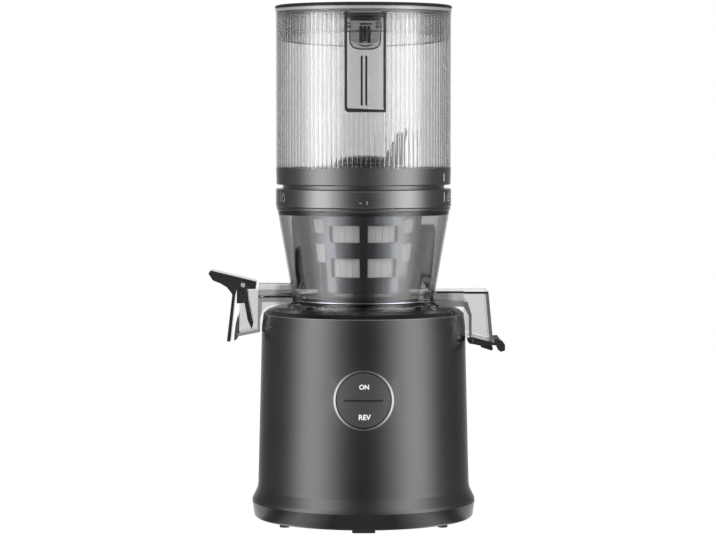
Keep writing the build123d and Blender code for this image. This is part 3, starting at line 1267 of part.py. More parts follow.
# ---------------------------------------------------------------- wiper
def wiper_frame():
    """Windowed cage about the strainer, with an internal gear at its foot."""
    z0, z1 = WIPER_GEAR_Z0, RING_Z0 - CAGE_TOP_GAP
    lo, hi = cage_radius(z0), cage_radius(z1)
    inner_hi = hi - CAGE_WALL
    gear_top = WIPER_GEAR_Z1
    tip = MODULE * (WIPER_RING_TEETH / 2 - ADDENDUM)
    cage = turned(
        [
            (tip, z0),
            (lo, z0),
            (hi, z1),
            (inner_hi, z1),
            (cage_radius(gear_top) - CAGE_WALL, gear_top),
            (tip, gear_top),
        ]
    )
    cut = gear_outline(WIPER_RING_TEETH, DEDENDUM, ADDENDUM, -TOOTH_GAP,
                       wiper_ring_phase(), z0 - 1)
    cage -= extrude(cut, WIPER_GEAR_WIDTH + 2, dir=(0, 0, 1))
    pitch = 360 / WINDOW_COLUMNS
    for column in range(WINDOW_COLUMNS):
        centre = 270 + pitch * (column + 0.5)
        for low, high in WINDOW_ROWS_A if column % 4 in (0, 3) else WINDOW_ROWS_B:
            cage -= wedge(centre, WINDOW_ANGLE / 2, 2 * CAGE_RADIUS, gear_top + low,
                          gear_top + high)
    return cage


def wiper_ring_phase():
    """The idler has a tooth space where the ring's cut has its tooth, at its outer side."""
    idler = wiper_idler_phase()
    turn = 0.25 * WIPER_IDLER_TEETH - idler
    return 0.25 * WIPER_RING_TEETH - turn


def wiper_idler_phase():
    return meshing_phase(AUGER_GEAR_TEETH, 0, WIPER_IDLER_TEETH, 90)


def wiper_blades():
    """Radial blades that sweep the juice round the bowl."""
    t = BLADE_THICKNESS / 2
    blades = []
    for side, drop, shoulder in ((1, 14.5, 8.0), (-1, 5.5, 0.0)):
        top = RING_Z0 - drop
        low = WIPER_GEAR_Z0 + 1
        reach = BLADE_REACH
        outline = [
            (cage_radius(low) - 0.6, low),
            (reach - 4.0, low),
            (reach, top - 5),
            (reach - 1.4, top),
            (cage_radius(top) - 0.6, top),
        ]
        plate = side_plate([(side * x, z) for x, z in outline], t)
        if shoulder:
            plate += side_plate(
                [(side * x, z) for x, z in (
                    (cage_radius(top) - 0.6, top - 1),
                    (cage_radius(top) + 4.0, top - 1),
                    (cage_radius(top) + 5.0, top + shoulder),
                    (cage_radius(top + shoulder) - 0.6, top + shoulder),
                )], t)
        else:
            plate -= block(2.1 - reach, 10.1 - reach, -5, 5, top - 11.5, top - 3.0)
        core = turned(
            [
                (0, low - 1),
                (cage_radius(low - 1), low - 1),
                (cage_radius(top + 9), top + 9),
                (0, top + 9),
            ]
        )
        blades.append(plate - core)
    return blades


def wiper_idler_gear():
    phase = wiper_idler_phase()
    bore = WIPER_PIN_RADIUS + SHAFT_GAP
    return gear(WIPER_IDLER_TEETH, WIPER_GEAR_Z0, WIPER_GEAR_Z1, bore, phase, 0, WIPER_IDLER_Y)


# ---------------------------------------------------------------- auger
def auger_gear():
    return gear(AUGER_GEAR_TEETH, WIPER_GEAR_Z0, WIPER_GEAR_Z1, AUGER_SLEEVE_RADIUS)


def auger_socket():
    """Steel-grey sleeve with a hexagonal bore that the drive shaft enters."""
    z0 = FLOOR_Z1 + REST_GAP
    sleeve = disc(AUGER_SLEEVE_RADIUS, FLOOR_Z0 + 0.6, HEX_TOP_Z + SOCKET_CAP)
    sleeve -= hex_prism(HEX_ACROSS + 4 * SHAFT_GAP, z0, HEX_TOP_Z + 1)
    return sleeve - disc(DRIVE_RADIUS + SHAFT_GAP * 2, FLOOR_Z0 - 1, z0 + REST_GAP)


def auger_core():
    core = turned(
        [
            (AUGER_SLEEVE_RADIUS, AUGER_Z0),
            (AUGER_ROOT_RADIUS, AUGER_Z0),
            (AUGER_TOP_RADIUS - 1, AUGER_NECK_Z),
            (AUGER_TOP_RADIUS, AUGER_HEAD_Z - 3),
            (AUGER_TOP_RADIUS - 1.2, AUGER_HEAD_Z - 0.8),
            (AUGER_TOP_RADIUS - 6, AUGER_HEAD_Z + 1.2),
            (0, AUGER_HEAD_Z + 2.4),
            (0, HEX_TOP_Z + SOCKET_CAP),
            (AUGER_SLEEVE_RADIUS, HEX_TOP_Z + SOCKET_CAP),
        ]
    )
    return core


def auger_body():
    """Core with two twisted flights that are trimmed to the strainer's cone."""
    z0, z1 = AUGER_Z0 + 0.5, AUGER_NECK_Z - 2
    limit = turned(
        [
            (AUGER_ROOT_RADIUS - 2, z0),
            (strainer_radius(z0) - STRAINER_WALL - FLIGHT_GAP, z0),
            (strainer_radius(z1) - STRAINER_WALL - FLIGHT_GAP, z1),
            (AUGER_ROOT_RADIUS - 2, z1),
        ]
    )
    body = auger_core()
    for start in (0, 180):
        section = Rot(0, 0, start) * Pos(26, 0, z0) * Rectangle(22, FLIGHT_THICKNESS)
        twisted = Solid.extrude_linear_with_rotation(
            section.faces()[0], (0, 0, z0), (0, 0, z1 - z0), -360 * FLIGHT_TURNS
        )
        body += (Part() + twisted) & limit
    return body


def auger_horn():
    """Curved blade on the auger's head that grabs the food."""
    rise = HORN_TIP_Z - AUGER_HEAD_Z
    base = AUGER_HEAD_Z + 0.4
    with BuildPart() as horn:
        with BuildSketch(Plane.XZ):
            with BuildLine():
                start = (-6.0, base)
                foot = (HORN_REACH - 17, base + 0.16 * rise)
                bend = (HORN_REACH - 9.5, base + 0.52 * rise)
                tip = (HORN_REACH - 1.0, HORN_TIP_Z)
                outer = (HORN_REACH, HORN_TIP_Z - 4)
                heel = (AUGER_TOP_RADIUS - 1.0, base - 2.2)
                Spline(start, foot, bend, tip, tangents=[(1, 0.05), (0.5, 0.9)])
                Line(tip, outer)
                Spline(outer, (HORN_REACH - 3.5, base + 0.35 * rise), heel)
                Line(heel, (-6.0, base - 2.2))
                Line((-6.0, base - 2.2), start)
            make_face()
        extrude(amount=HORN_THICKNESS / 2, both=True)
    return horn.part - auger_core()


# ---------------------------------------------------------------- juice cap and pulp door
def juice_cap_lever():
    """Finger tab, hub on the pin and outer flap, in one moulding."""
    tab = side_plate(
        [
            (CAP_PIVOT_X - 25.8, CAP_PIVOT_Z + 11.4),
            (CAP_PIVOT_X - 27.6, CAP_PIVOT_Z + 8.8),
            (CAP_PIVOT_X - 24.0, CAP_PIVOT_Z + 3.4),
            (CAP_PIVOT_X - 18.0, CAP_PIVOT_Z + 1.0),
            (CAP_PIVOT_X - 13.0, CAP_PIVOT_Z - 2.0),
            (CAP_PIVOT_X - 10.0, CAP_PIVOT_Z - 5.6),
            (CAP_PIVOT_X - 8.6, CAP_PIVOT_Z - 8.0),
            (CAP_PIVOT_X - 6.0, CAP_PIVOT_Z - FLAP_TOP_DROP),
            (CAP_PIVOT_X - 5.0, CAP_PIVOT_Z - 3.4),
            (CAP_PIVOT_X + 10.0, CAP_PIVOT_Z - 3.4),
            (CAP_PIVOT_X + 10.6, CAP_PIVOT_Z + 2.6),
        ],
        CAP_HALF_WIDTH,
    )
    flap = side_plate(
        [
            (CAP_PIVOT_X - 8.6, CAP_PIVOT_Z - FLAP_TOP_DROP),
            (CAP_PIVOT_X - 13.0, CAP_PIVOT_Z - FLAP_DROP),
            (CAP_PIVOT_X - 10.2, CAP_PIVOT_Z - FLAP_DROP),
            (CAP_PIVOT_X - 6.2, CAP_PIVOT_Z - FLAP_TOP_DROP),
        ],
        CAP_HALF_WIDTH,
    )
    bore = CAP_PIN_RADIUS + SHAFT_GAP
    return tab + flap - rod_y(bore, 3 * CAP_HALF_WIDTH, CAP_PIVOT_X, 0, CAP_PIVOT_Z)


def juice_cap_gate():
    """Tapered gate that hangs behind the flap, inside the spout."""
    root_top = CAP_PIVOT_Z - 3.4
    gate = side_plate(
        [
            (CAP_PIVOT_X - 5.0, root_top),
            (CAP_PIVOT_X - 5.2, CAP_PIVOT_Z - 15.0),
            (CAP_PIVOT_X + 1.0, CAP_PIVOT_Z - 14.6),
            (CAP_PIVOT_X + 3.4, CAP_PIVOT_Z - 28.0),
            (CAP_PIVOT_X + 6.6, CAP_PIVOT_Z - 35.4),
            (CAP_PIVOT_X + 7.9, CAP_PIVOT_Z - 30.4),
            (CAP_PIVOT_X + 4.4, CAP_PIVOT_Z - 13.0),
            (CAP_PIVOT_X + 3.4, root_top),
        ],
        GATE_HALF_WIDTH,
    )
    return gate


def door_half_width():
    return CHUTE_HALF_WIDTH - CHUTE_EAR_WIDTH - 0.3


def pulp_door():
    """Sloping door under the chute, hinged at its inner lower corner."""
    x, z = DOOR_PIVOT_X, DOOR_PIVOT_Z
    door = side_plate(
        [
            (x, foot_line(x) - DOOR_TOP_GAP),
            (CHUTE_FOOT_X + 0.9, CHUTE_FOOT_Z - 0.7),
            (CHUTE_FOOT_X + 0.9, CHUTE_FOOT_Z + 1.2),
            (CHUTE_FOOT_X + 5.6, CHUTE_FOOT_Z + 1.6),
            (CHUTE_FOOT_X + 7.9, CHUTE_FOOT_Z + 0.2),
            (CHUTE_FOOT_X + 9.6, CHUTE_FOOT_Z - 2.6),
            (CHUTE_FOOT_X + 9.6, CHUTE_FOOT_Z - 6.9),
            (CHUTE_FOOT_X + 6.4, CHUTE_FOOT_Z - 8.1),
            (CHUTE_FOOT_X + 4.0, CHUTE_FOOT_Z - 6.5),
            (CHUTE_FOOT_X + 2.4, CHUTE_FOOT_Z - 2.9),
            (CHUTE_FOOT_X - 0.8, CHUTE_FOOT_Z - 2.9),
            (CHUTE_FOOT_X - 9.5, CHUTE_FOOT_Z - 3.3),
            (x, z - DOOR_BARREL_RADIUS),
        ],
        door_half_width(),
    )
    lug = side_plate(
        [
            (CHUTE_FOOT_X - 9.5, CHUTE_FOOT_Z - 2.3),
            (CHUTE_FOOT_X - 8.7, CHUTE_FOOT_Z - 5.7),
            (CHUTE_FOOT_X, CHUTE_FOOT_Z - 8.4),
            (CHUTE_FOOT_X + 0.8, CHUTE_FOOT_Z - 6.5),
            (CHUTE_FOOT_X - 0.8, CHUTE_FOOT_Z - 2.3),
        ],
        DOOR_LUG_HALF_WIDTH,
    )
    door += lug
    door += rod_y(DOOR_BARREL_RADIUS, 2 * door_half_width(), x, 0, z)
    return door - rod_y(DOOR_PIN_RADIUS + SHAFT_GAP, 3 * CHUTE_HALF_WIDTH, x, 0, z)


def pulp_door_seal():
    """Soft strip along the crown of the door's lip, outside the chute's foot."""
    strip = side_plate(
        [
            (CHUTE_FOOT_X + 1.1, CHUTE_FOOT_Z + 0.9),
            (CHUTE_FOOT_X + 5.4, CHUTE_FOOT_Z + 1.2),
            (CHUTE_FOOT_X + 5.2, CHUTE_FOOT_Z + 2.3),
            (CHUTE_FOOT_X + 1.1, CHUTE_FOOT_Z + 1.9),
        ],
        door_half_width() - 1.1,
    )
    return strip - pulp_door()


# ---------------------------------------------------------------- hopper
def hopper_ring():
    """Dark band with the neck that plugs into the chamber and a funnel floor."""
    neck_z0 = FLANGE_TOP_Z + REST_GAP
    neck_in = NECK_RADIUS - NECK_WALL
    return turned(
        [
            (neck_in, neck_z0),
            (NECK_RADIUS, neck_z0),
            (NECK_RADIUS, BAND_Z0),
            (HOPPER_RADIUS - 0.9, BAND_Z0),
            (HOPPER_RADIUS - 0.3, BAND_Z0 + 0.8),
            (HOPPER_RADIUS, HOPPER_Z0),
            (HOPPER_BORE, HOPPER_Z0),
            (HOPPER_BORE - 4, HOPPER_Z0 - 2.0),
            (FUNNEL_BORE, HOPPER_Z0 - 5.5),
            (FUNNEL_BORE, HOPPER_Z0 - 5.5 - FUNNEL_FLOOR),
            (neck_in, HOPPER_Z0 - 6.0 - FUNNEL_FLOOR),
        ]
    )


def latch_opening(grow, z_grow):
    """Round-cornered opening at the hopper's front, open at its top."""
    half = WINDOW_HALF_WIDTH + grow
    z0 = WINDOW_Z0 - z_grow
    z1 = WINDOW_TOP_Z
    slab = block(LATCH_X - half, LATCH_X + half, -1.2 * HOPPER_RADIUS,
                 -0.7 * HOPPER_RADIUS, z0, z1)
    corners = slab.edges().filter_by(Axis.Y).group_by(Axis.Z)[0]
    left = corners.sort_by(Axis.X)[0]
    return fillet(left, WINDOW_CORNER + grow)


def hopper_tube():
    """Round clear wall, with the latch's opening at the front and hinge ears behind."""
    tube = ring(HOPPER_RADIUS, HOPPER_BORE, HOPPER_Z0, HOPPER_TOP_Z)
    tube -= latch_opening(0, 0)
    x0, x1 = HINGE_EAR_X, HINGE_EAR_X + HINGE_EAR_WIDTH
    y1 = LID_PIVOT_Y + KNUCKLE_RADIUS
    ear = block(x0, x1, HOPPER_RADIUS - 1.2, y1, LID_PIVOT_Z - 11, LID_PIVOT_Z)
    ear += rod_x(KNUCKLE_RADIUS, HINGE_EAR_WIDTH, (x0 + x1) / 2, LID_PIVOT_Y, LID_PIVOT_Z)
    ear -= block(0, 2 * x1, LID_PIVOT_Y - 12, LID_PIVOT_Y - KNUCKLE_RADIUS + REST_GAP,
                 HOPPER_TOP_Z, LID_PIVOT_Z + 5)
    ear -= side_wedge()
    ears = [ear, mirror(ear, about=Plane.YZ)]
    tube += ears
    tube -= rod_x(LID_PIN_RADIUS, 3 * x1, 0, LID_PIVOT_Y, LID_PIVOT_Z)
    return tube


def side_wedge():
    """Trims the foot of a hinge ear into a slope that meets the wall."""
    x0 = HINGE_EAR_X - 1
    y0, y1 = HOPPER_RADIUS + 0.2, LID_PIVOT_Y + KNUCKLE_RADIUS + 1
    z0 = LID_PIVOT_Z - 11.5
    face = make_face(
        Polyline((x0, y0, z0), (x0, y1, z0), (x0, y1, z0 + 7.5), close=True)
    )
    return extrude(face, HINGE_EAR_WIDTH + 2, dir=(1, 0, 0))


def latch_frame():
    """Dark U-shaped frame in the opening's edge."""
    outer = latch_opening(0, 0)
    inner = latch_opening(-FRAME_WIDTH, -FRAME_WIDTH)
    half = WINDOW_HALF_WIDTH - FRAME_WIDTH
    inner += block(LATCH_X - half, LATCH_X + half, -1.2 * HOPPER_RADIUS,
                   -0.7 * HOPPER_RADIUS, WINDOW_TOP_Z - 5, WINDOW_TOP_Z + 5)
    wall = ring(HOPPER_RADIUS + FRAME_PROUD, HOPPER_BORE, WINDOW_Z0 - 5, HOPPER_TOP_Z)
    return (outer - inner) & wall


def latch_window():
    """Clear pane inside the frame, with two guide ribs."""
    inner = latch_opening(-FRAME_WIDTH, -FRAME_WIDTH)
    outer_r = HOPPER_RADIUS - PANE_INSET
    wall = ring(outer_r, outer_r - PANE_THICKNESS, WINDOW_Z0 - 5, WINDOW_TOP_Z)
    pane = inner & wall
    front = -math.sqrt(outer_r ** 2 - 3)
    y0 = front + PANE_THICKNESS - 0.4
    for x in (LATCH_X - GUIDE_OFFSET, LATCH_X + GUIDE_OFFSET):
        pane += block(x - GUIDE_WIDTH / 2, x + GUIDE_WIDTH / 2, y0, y0 + GUIDE_DEPTH,
                      WINDOW_Z0 + 5, WINDOW_Z0 + 5 + GUIDE_LENGTH)
    return pane


# ---------------------------------------------------------------- lid
def lid_plate():
    top = turned(
        [
            (0, FLANGE_Z1),
            (LID_RADIUS, FLANGE_Z1),
            (LID_RADIUS, LID_TOP_Z - 0.42 * LID_PLATE),
            (LID_RADIUS - 0.8, LID_TOP_Z - 0.13 * LID_PLATE),
            (LID_RADIUS - 2.0, LID_TOP_Z),
            (0, LID_TOP_Z),
        ]
    )
    half, radius = KNUCKLE_HALF_WIDTH, KNUCKLE_RADIUS
    knuckle = block(-half, half, HOPPER_RADIUS - 4, LID_PIVOT_Y, FLANGE_Z1, LID_TOP_Z)
    knuckle += block(-half, half, LID_PIVOT_Y - radius, LID_PIVOT_Y + radius, LID_PIVOT_Z,
                     FLANGE_Z1 + LID_PLATE / 4)
    knuckle += rod_x(radius, 2 * half, 0, LID_PIVOT_Y, LID_PIVOT_Z)
    lid = top + knuckle
    return lid - rod_x(LID_PIN_RADIUS + SHAFT_GAP, 3 * half, 0, LID_PIVOT_Y, LID_PIVOT_Z)


def lid_skirt():
    """Clear flange under the plate, with a slanting skirt inside the hopper."""
    rim = ring(LID_RADIUS - 0.4, SKIRT_RADIUS - SKIRT_WALL, FLANGE_Z0, FLANGE_Z1)
    skirt = ring(SKIRT_RADIUS, SKIRT_RADIUS - SKIRT_WALL, SKIRT_FRONT_Z - 2, FLANGE_Z0)
    slope = (SKIRT_SIDE_Z - SKIRT_FRONT_Z) / SKIRT_RADIUS
    reach = 1.2 * HOPPER_RADIUS
    low = SKIRT_SIDE_Z - slope * reach
    high = SKIRT_SIDE_Z + slope * reach
    face = make_face(
        Polyline((-reach, -reach, HOPPER_Z0), (-reach, reach, HOPPER_Z0),
                 (-reach, reach, high), (-reach, -reach, low), close=True)
    )
    skirt -= extrude(face, 2 * reach, dir=(1, 0, 0))
    half = SKIRT_GAP_HALF
    skirt -= block(LATCH_X - half, LATCH_X + half, -reach, -reach / 2, HOPPER_Z0,
                   FLANGE_Z0 - 1)
    half = KNUCKLE_HALF_WIDTH + 1
    rim -= block(-half, half, LID_PIVOT_Y - 2 * KNUCKLE_RADIUS, reach, FLANGE_Z0 - 1,
                 FLANGE_Z1 + 1)
    ears = []
    for side in (-1, 1):
        x = LATCH_X + side * (LATCH_HALF_WIDTH + 2)
        ears.append(
            block(x - 1.2, x + 1.2, LATCH_PIVOT_Y - 2.2, LATCH_PIVOT_Y + 2.2,
                  LATCH_PIVOT_Z - 2.0, FLANGE_Z0)
        )
    lid = rim + skirt + ears
    return lid - rod_x(LATCH_PIN_RADIUS, SKIRT_RADIUS, 0, LATCH_PIVOT_Y, LATCH_PIVOT_Z)


def latch_pin():
    return rod_x(LATCH_PIN_RADIUS, 2 * LATCH_HALF_WIDTH + 6, LATCH_X, LATCH_PIVOT_Y,
                 LATCH_PIVOT_Z)


def lid_latch():
    """Clear cup-shaped tab that hangs on its pin behind the pane."""
    half = LATCH_HALF_WIDTH
    y = LATCH_PIVOT_Y
    back = y + LATCH_THICKNESS / 2
    tab = block(LATCH_X - half, LATCH_X + half, back - LATCH_THICKNESS, back, LATCH_LOW_Z,
                LATCH_PIVOT_Z)
    low = tab.edges().filter_by(Axis.Y).group_by(Axis.Z)[0]
    tab = fillet(low, LATCH_CORNER)
    tab += rod_x(LATCH_HUB_RADIUS, 2 * half, LATCH_X, y, LATCH_PIVOT_Z)
    tab += block(LATCH_X - 5, LATCH_X + 5, back, back + 2.2, LATCH_LOW_Z + 6,
                 LATCH_LOW_Z + 18)
    return tab - rod_x(LATCH_PIN_RADIUS + SHAFT_GAP, 3 * half, 0, y, LATCH_PIVOT_Z)


def lid_hinge_pin():
    length = 2 * (HINGE_EAR_X + HINGE_EAR_WIDTH) + 1
    return rod_x(LID_PIN_RADIUS, length, 0, LID_PIVOT_Y, LID_PIVOT_Z)


# ---------------------------------------------------------------- output
SINGLE_PIECES = (
    housing_shell, base_ring, bottom_cover, button_bezel, rocker_button, switch_box,
    control_board, cord_gland, motor_can, motor_end_bell, stator_core, motor_mount_plate,
    motor_shaft, rotor_core, cooling_fan, motor_pinion, gearbox_case, gearbox_plate,
    gearbox_cover, idler_axle, idler_gear, output_gear, drive_shaft, shaft_seal,
    chamber_bowl, chamber_ring, hub_seal, wiper_seat_ring, spout_lip, strainer,
    wiper_frame, wiper_idler_gear, auger_gear, auger_socket, auger_body, auger_horn,
    juice_cap_lever, juice_cap_gate, pulp_door, pulp_door_seal, hopper_ring, hopper_tube,
    latch_frame, latch_window, lid_plate, lid_skirt, latch_pin, lid_latch, lid_hinge_pin,
)
GROUPS = (
    housing_screws, foot_pads, foot_studs, button_microswitches, board_components,
    motor_bearings, stator_windings, motor_mount_bushes, drive_bushes, chamber_pins,
    wiper_blades,
)


def main():
    os.makedirs("parts", exist_ok=True)
    for piece in SINGLE_PIECES:
        save(piece.__name__, piece())
    for group in GROUPS:
        save(group.__name__, *group())


main()
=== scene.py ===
"""Looks of the cold press juicer, built on its CAD solids."""

import math

import bmesh
import bpy
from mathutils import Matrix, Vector


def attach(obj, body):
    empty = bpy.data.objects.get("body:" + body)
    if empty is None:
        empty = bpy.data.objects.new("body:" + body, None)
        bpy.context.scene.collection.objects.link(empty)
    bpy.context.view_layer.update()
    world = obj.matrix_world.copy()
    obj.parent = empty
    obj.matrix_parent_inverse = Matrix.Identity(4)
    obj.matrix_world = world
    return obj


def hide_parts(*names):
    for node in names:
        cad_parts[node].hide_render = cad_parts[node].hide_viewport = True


MM = 0.001
FRONT, REAR = -1, 1
SUNK = 0.3                      # how far raised lines reach into what carries them
TURN_STEPS = 144
SMOOTH_ANGLE = 35.0             # degrees between faces that still shade as one

# ---------------------------------------------------------------- places, in millimetres
HOPPER_RADIUS = 69.6
HOPPER_BORE = 67.4
HOPPER_Z0 = 281.5
HOPPER_TOP_Z = 403.5
WALL_TOLERANCE = 0.05
FLUTES = 112
FLUTE_STEPS = 12
FLUTE_DEPTH = 0.3
FLUTE_SHARE = 0.5               # of a flute's pitch, the rest is flat
RIPPLE = 0.012                  # of the outer wall, at the flutes' pitch

LATCH_X = 1.2
LATCH_FRONT = -63.8
WINDOW_HALF = 16.0
WINDOW_Z0 = 325.0
# The line round the window, across from LATCH_X and up
WINDOW_LINE = ((-15.0, 402.0), (-15.0, 328.8), (-13.6, 327.2), (14.0, 325.9), (15.0, 326.8),
               (15.0, 402.0))
PANE_BACK = -67.0               # the pane's inner face, at the latch
PANE_RIBS = (-2.75, 0.75)       # from LATCH_X
PANE_RIB_Z = (330.2, 368.4)
CUP_HALF = 11.8
CUP_EDGE_HALF = 11.9
CUP_TOP_Z = 388.0
CUP_CURVE_Z = 383.0
CUP_DEPTH = 9.4
CUP_SQUARENESS = 0.6            # 1 for an ellipse, less for squarer corners
CUP_STEPS = 24
CUP_PROUD = 0.3
CUP_LENS = (5.0, 375.9, 1.3)    # half its width, its low point, its ends' rise
LENS_STEPS = 5
# Bars on the latch, as (left, right, low, high, proud), across from LATCH_X
LATCH_BARS = ((-11.9, 11.3, 395.4, 397.3, 0.9), (-4.2, 5.4, 392.3, 393.7, 0.7))
# Upright grip bars on the latch, as (left, low)
LATCH_GRIPS = ((-4.6, 378.4), (-1.6, 379.6), (1.4, 378.4))
GRIP_WIDTH = 2.7
GRIP_TOP_Z = 391.6
GRIP_CHAMFER = (0.5, 1.0)       # across and down
GRIP_PROUD = 0.8
BAR_SUNK = 0.1

LID_RADIUS = 70.2
FLANGE_Z0 = 403.9
SKIRT_RADIUS = 63.0
SKIRT_GAP_HALF = 17.0
SKIRT_LINE_Z = 383.9            # at the sides
SKIRT_SLOPE = 8.0 / 63.0
SKIRT_STEPS = 120

RING_RADIUS = 69.8
RING_Z0 = 250.5
BOWL_RIM_RADIUS = 68.6
BAND_RADIUS = 69.6
BOWL_FOOT_RADIUS = 56.2
BOWL_FOOT_Z = 176.0
STRAINER_Z = (196.0, 248.0)
STRAINER_RADIUS = 38.95         # inside the wall, at the upper of these
STRAINER_SLOPE = 0.0845
STRAINER_RIBS = 240
STRAINER_RIB_DEPTH = 0.15
STRAINER_WALL = 0.5
CHUTE_LINE_Z = 183.0
# Upper front edges of the pulp chute and of the duct to it, as (piece, y, from x, to x)
CHUTE_LINES = (("chute_top_line", -24.0, 79.2, 98.2), ("duct_top_line", -18.0, 58.0, 79.2))
DOOR_PIN_X = 85.0
DOOR_PIN_Z = 145.2
DOOR_PIN_RADIUS = 1.6
DOOR_PIN_END = 24.4
PIN_CAP_STEPS = 24
# The cap's rings, as (beyond the pin's radius, beyond its end)
PIN_CAP_RINGS = ((0.3, -0.25), (0.3, 0.3), (-0.1, 0.6), (-0.9, 0.7))

AUGER_HEAD_Z = 283.0
# The auger's dome, as (radius, above its head)
AUGER_DOME = ((0.01, -0.3), (24.6, -0.3), (24.9, 0.8), (24.0, 1.9), (22.0, 2.7), (21.4, 2.7),
              (21.0, 3.3), (18.5, 5.0), (14.5, 6.6), (9.0, 7.7), (3.0, 8.1), (0.01, 8.1))
DOME_STEPS = 72
HORN_WEB = ((13.0, 283.0), (15.6, 289.0), (18.4, 293.0), (21.4, 297.4), (23.8, 302.0),
            (26.0, 307.2), (29.4, 310.8), (31.0, 309.0), (32.0, 300.0), (32.4, 290.0),
            (32.0, 283.0))
HORN_WEB_Y = (-3.0, 1.0)
CORNER_WEB = ((-56.4, 232.8), (-47.0, 232.8), (-47.0, 243.0), (-56.4, 243.0))
CORNER_WEB_EDGE = ((-56.0, 242.6), (-56.0, 233.2), (-47.4, 233.2), (-47.4, 242.6))
CORNER_WEB_HALF = 0.8

SHOULDER_RADIUS = 79.8
SHOULDER_Z = 165.6
BODY_RADIUS = 84.2              # at BODY_FOOT_Z, and it narrows upwards
BODY_FOOT_Z = 31.0
BODY_SLOPE = 3.1 / 125.0
BUTTON_PROUD = 0.2
GROOVE_HALF = 14.8
GROOVE_Z = 102.9
# Lettering, as (text, across, z, height, boldness)
BUTTON_WORDS = (("ON", 0.4, 113.6, 3.5, 0.15), ("REV", 0.6, 90.3, 3.9, 0.14))
CAP_HEIGHT = 0.7                # of a capital, at a font size of 1
FONT_DEPTH = 0.5                # of the words before they are laid on the wall

# Marks round the ring, the padlock's box among them, as (start, end, width); places are
# (round the ring to the right, z)
RING_MARKS = (((-85.0, 254.5), (-85.0, 263.0), 0.6), ((79.6, 255.0), (79.6, 262.5), 2.2),
              ((86.6, 255.6), (92.6, 255.6), 0.8), ((86.6, 258.6), (92.6, 258.6), 0.8),
              ((86.8, 255.6), (86.8, 258.6), 0.8), ((92.4, 255.6), (92.4, 258.6), 0.8),
              ((-3.4, 254.8), (-1.4, 254.8), 0.7), ((2.6, 253.6), (2.6, 256.4), 0.7))
PADLOCK_BOW = ((88.0, 258.8), (88.0, 260.6), (88.6, 261.6), (89.6, 262.0), (90.6, 261.6),
               (91.2, 260.6), (91.2, 258.8))
OUTLINE_WIDTH = 0.7
DROP_PLACE = (-78.8, 258.6)
DROP_SIZE = 3.6
DROP_SHAPE = (1.5, 0.95)        # how fast it widens, and its height's share
DROP_STEPS = 28
RING_PANEL = ((-24.4, 251.2), (-24.4, 263.6), (20.0, 263.6), (20.0, 251.2))
BAND_MARK = ((79.6, 271.0), (79.6, 277.4), 2.2)

# Raised lines, as (width, how proud, how far sunk)
LINE_SIZES = {
    "button_groove_shade_line": (1.5, BUTTON_PROUD + 0.03, SUNK),
    "ring_panel_edge": (0.35, 0.04, SUNK),
    "latch_cup_rim": (1.0, 0.15, 0.4),
    "pane_guide_strips": (1.6, 0.2, 0.5),
    "window_frame_line": (2.0, 0.12, 0.6),
    "skirt_edge": (1.2, 0.15, SUNK),
    "wiper_web_edge_highlight": (0.6, 0.15, SUNK),
    "chute_top_line": (1.5, 0.1, SUNK),
    "duct_top_line": (1.5, 0.1, SUNK),
}
RIBBON_TOP = 0.8                # a raised line's top, as a share of its width
PATH_STEP = 2.0
LETTER_PROUD = 0.08
MARK_PROUD = 0.06

# Thin rings turned round the axis, as (piece, radius, z, finish, body, profile), where the
# profile's points are (beyond the radius, above the z)
TRIMS = (
    ("lid_flange_strip", LID_RADIUS - 0.4, FLANGE_Z0, "flange_light", "lid",
     ((-0.5, 0.6), (0.1, 0.8), (0.2, 1.2), (0.2, 3.0), (-0.5, 3.4))),
    ("hopper_rim_line", HOPPER_RADIUS, HOPPER_TOP_Z, "mark_faint", "hopper",
     ((-0.6, -0.9), (0.1, -0.7), (0.1, -0.2), (-0.6, 0.0))),
    ("bowl_gasket", BOWL_RIM_RADIUS, RING_Z0, "dark_gloss", "chamber",
     ((-0.3, -2.6), (0.3, -2.6), (0.7, -2.1), (0.7, -0.3), (-0.3, -0.05))),
    ("bowl_foot_bead", BOWL_FOOT_RADIUS, BOWL_FOOT_Z, "cage_satin", "chamber",
     ((-0.3, -0.6), (0.4, -0.5), (0.7, 0.1), (0.6, 0.8), (-0.1, 1.2))),
    # A lighter ring round the housing's shoulder edge: a painted highlight.
    ("shoulder_highlight_line", SHOULDER_RADIUS, SHOULDER_Z, "mark_faint", "root",
     ((-0.4, -0.7), (0.15, -0.6), (0.2, -0.3), (0.1, -0.05), (-0.4, 0.0))),
)

# ---------------------------------------------------------------- camera and light
CAMERA_PLACE = (-4.4, -2155.0, 314.9)
CAMERA_AIM = (-4.4, 0.0, 199.7)
CAMERA_LENS = 136.0
CAMERA_SENSOR = 36.0
CAMERA_CLIP = (0.01, 50.0)

# Brightness of what shines through, as (place, level): 0.71 is between two axes, 1 on one
THROUGH_STOPS = ((0.71, 0.35), (0.80, 0.5), (0.93, 0.9), (0.97, 1.0))
# What the object's surfaces mirror, as (degrees from the front on either side, level)
STUDIO_STOPS = ((0, 0.2), (15, 0.55), (26, 1.7), (37, 3.8), (50, 6.3), (64, 6.6), (74, 4.2),
                (88, 1.2), (97, 0.6), (106, 0.4), (127, 0.22), (152, 0.3), (163, 0.7),
                (172, 1.0), (180, 1.0))
STUDIO_PEAK = 8.0
STUDIO_TOP = (0.72, 0.93)       # height in a direction of length 1, where the studio dims
STUDIO_TOP_SHARE = 0.04         # of its level that is left above that
ANY_BOUNCE = 0.5                # between no bounce and one
WHITE = (1.0, 1.0, 1.0, 1.0)
DIFFUSE_WHITE = (0.6, 0.6, 0.6, 1.0)    # what matt surfaces are lit by

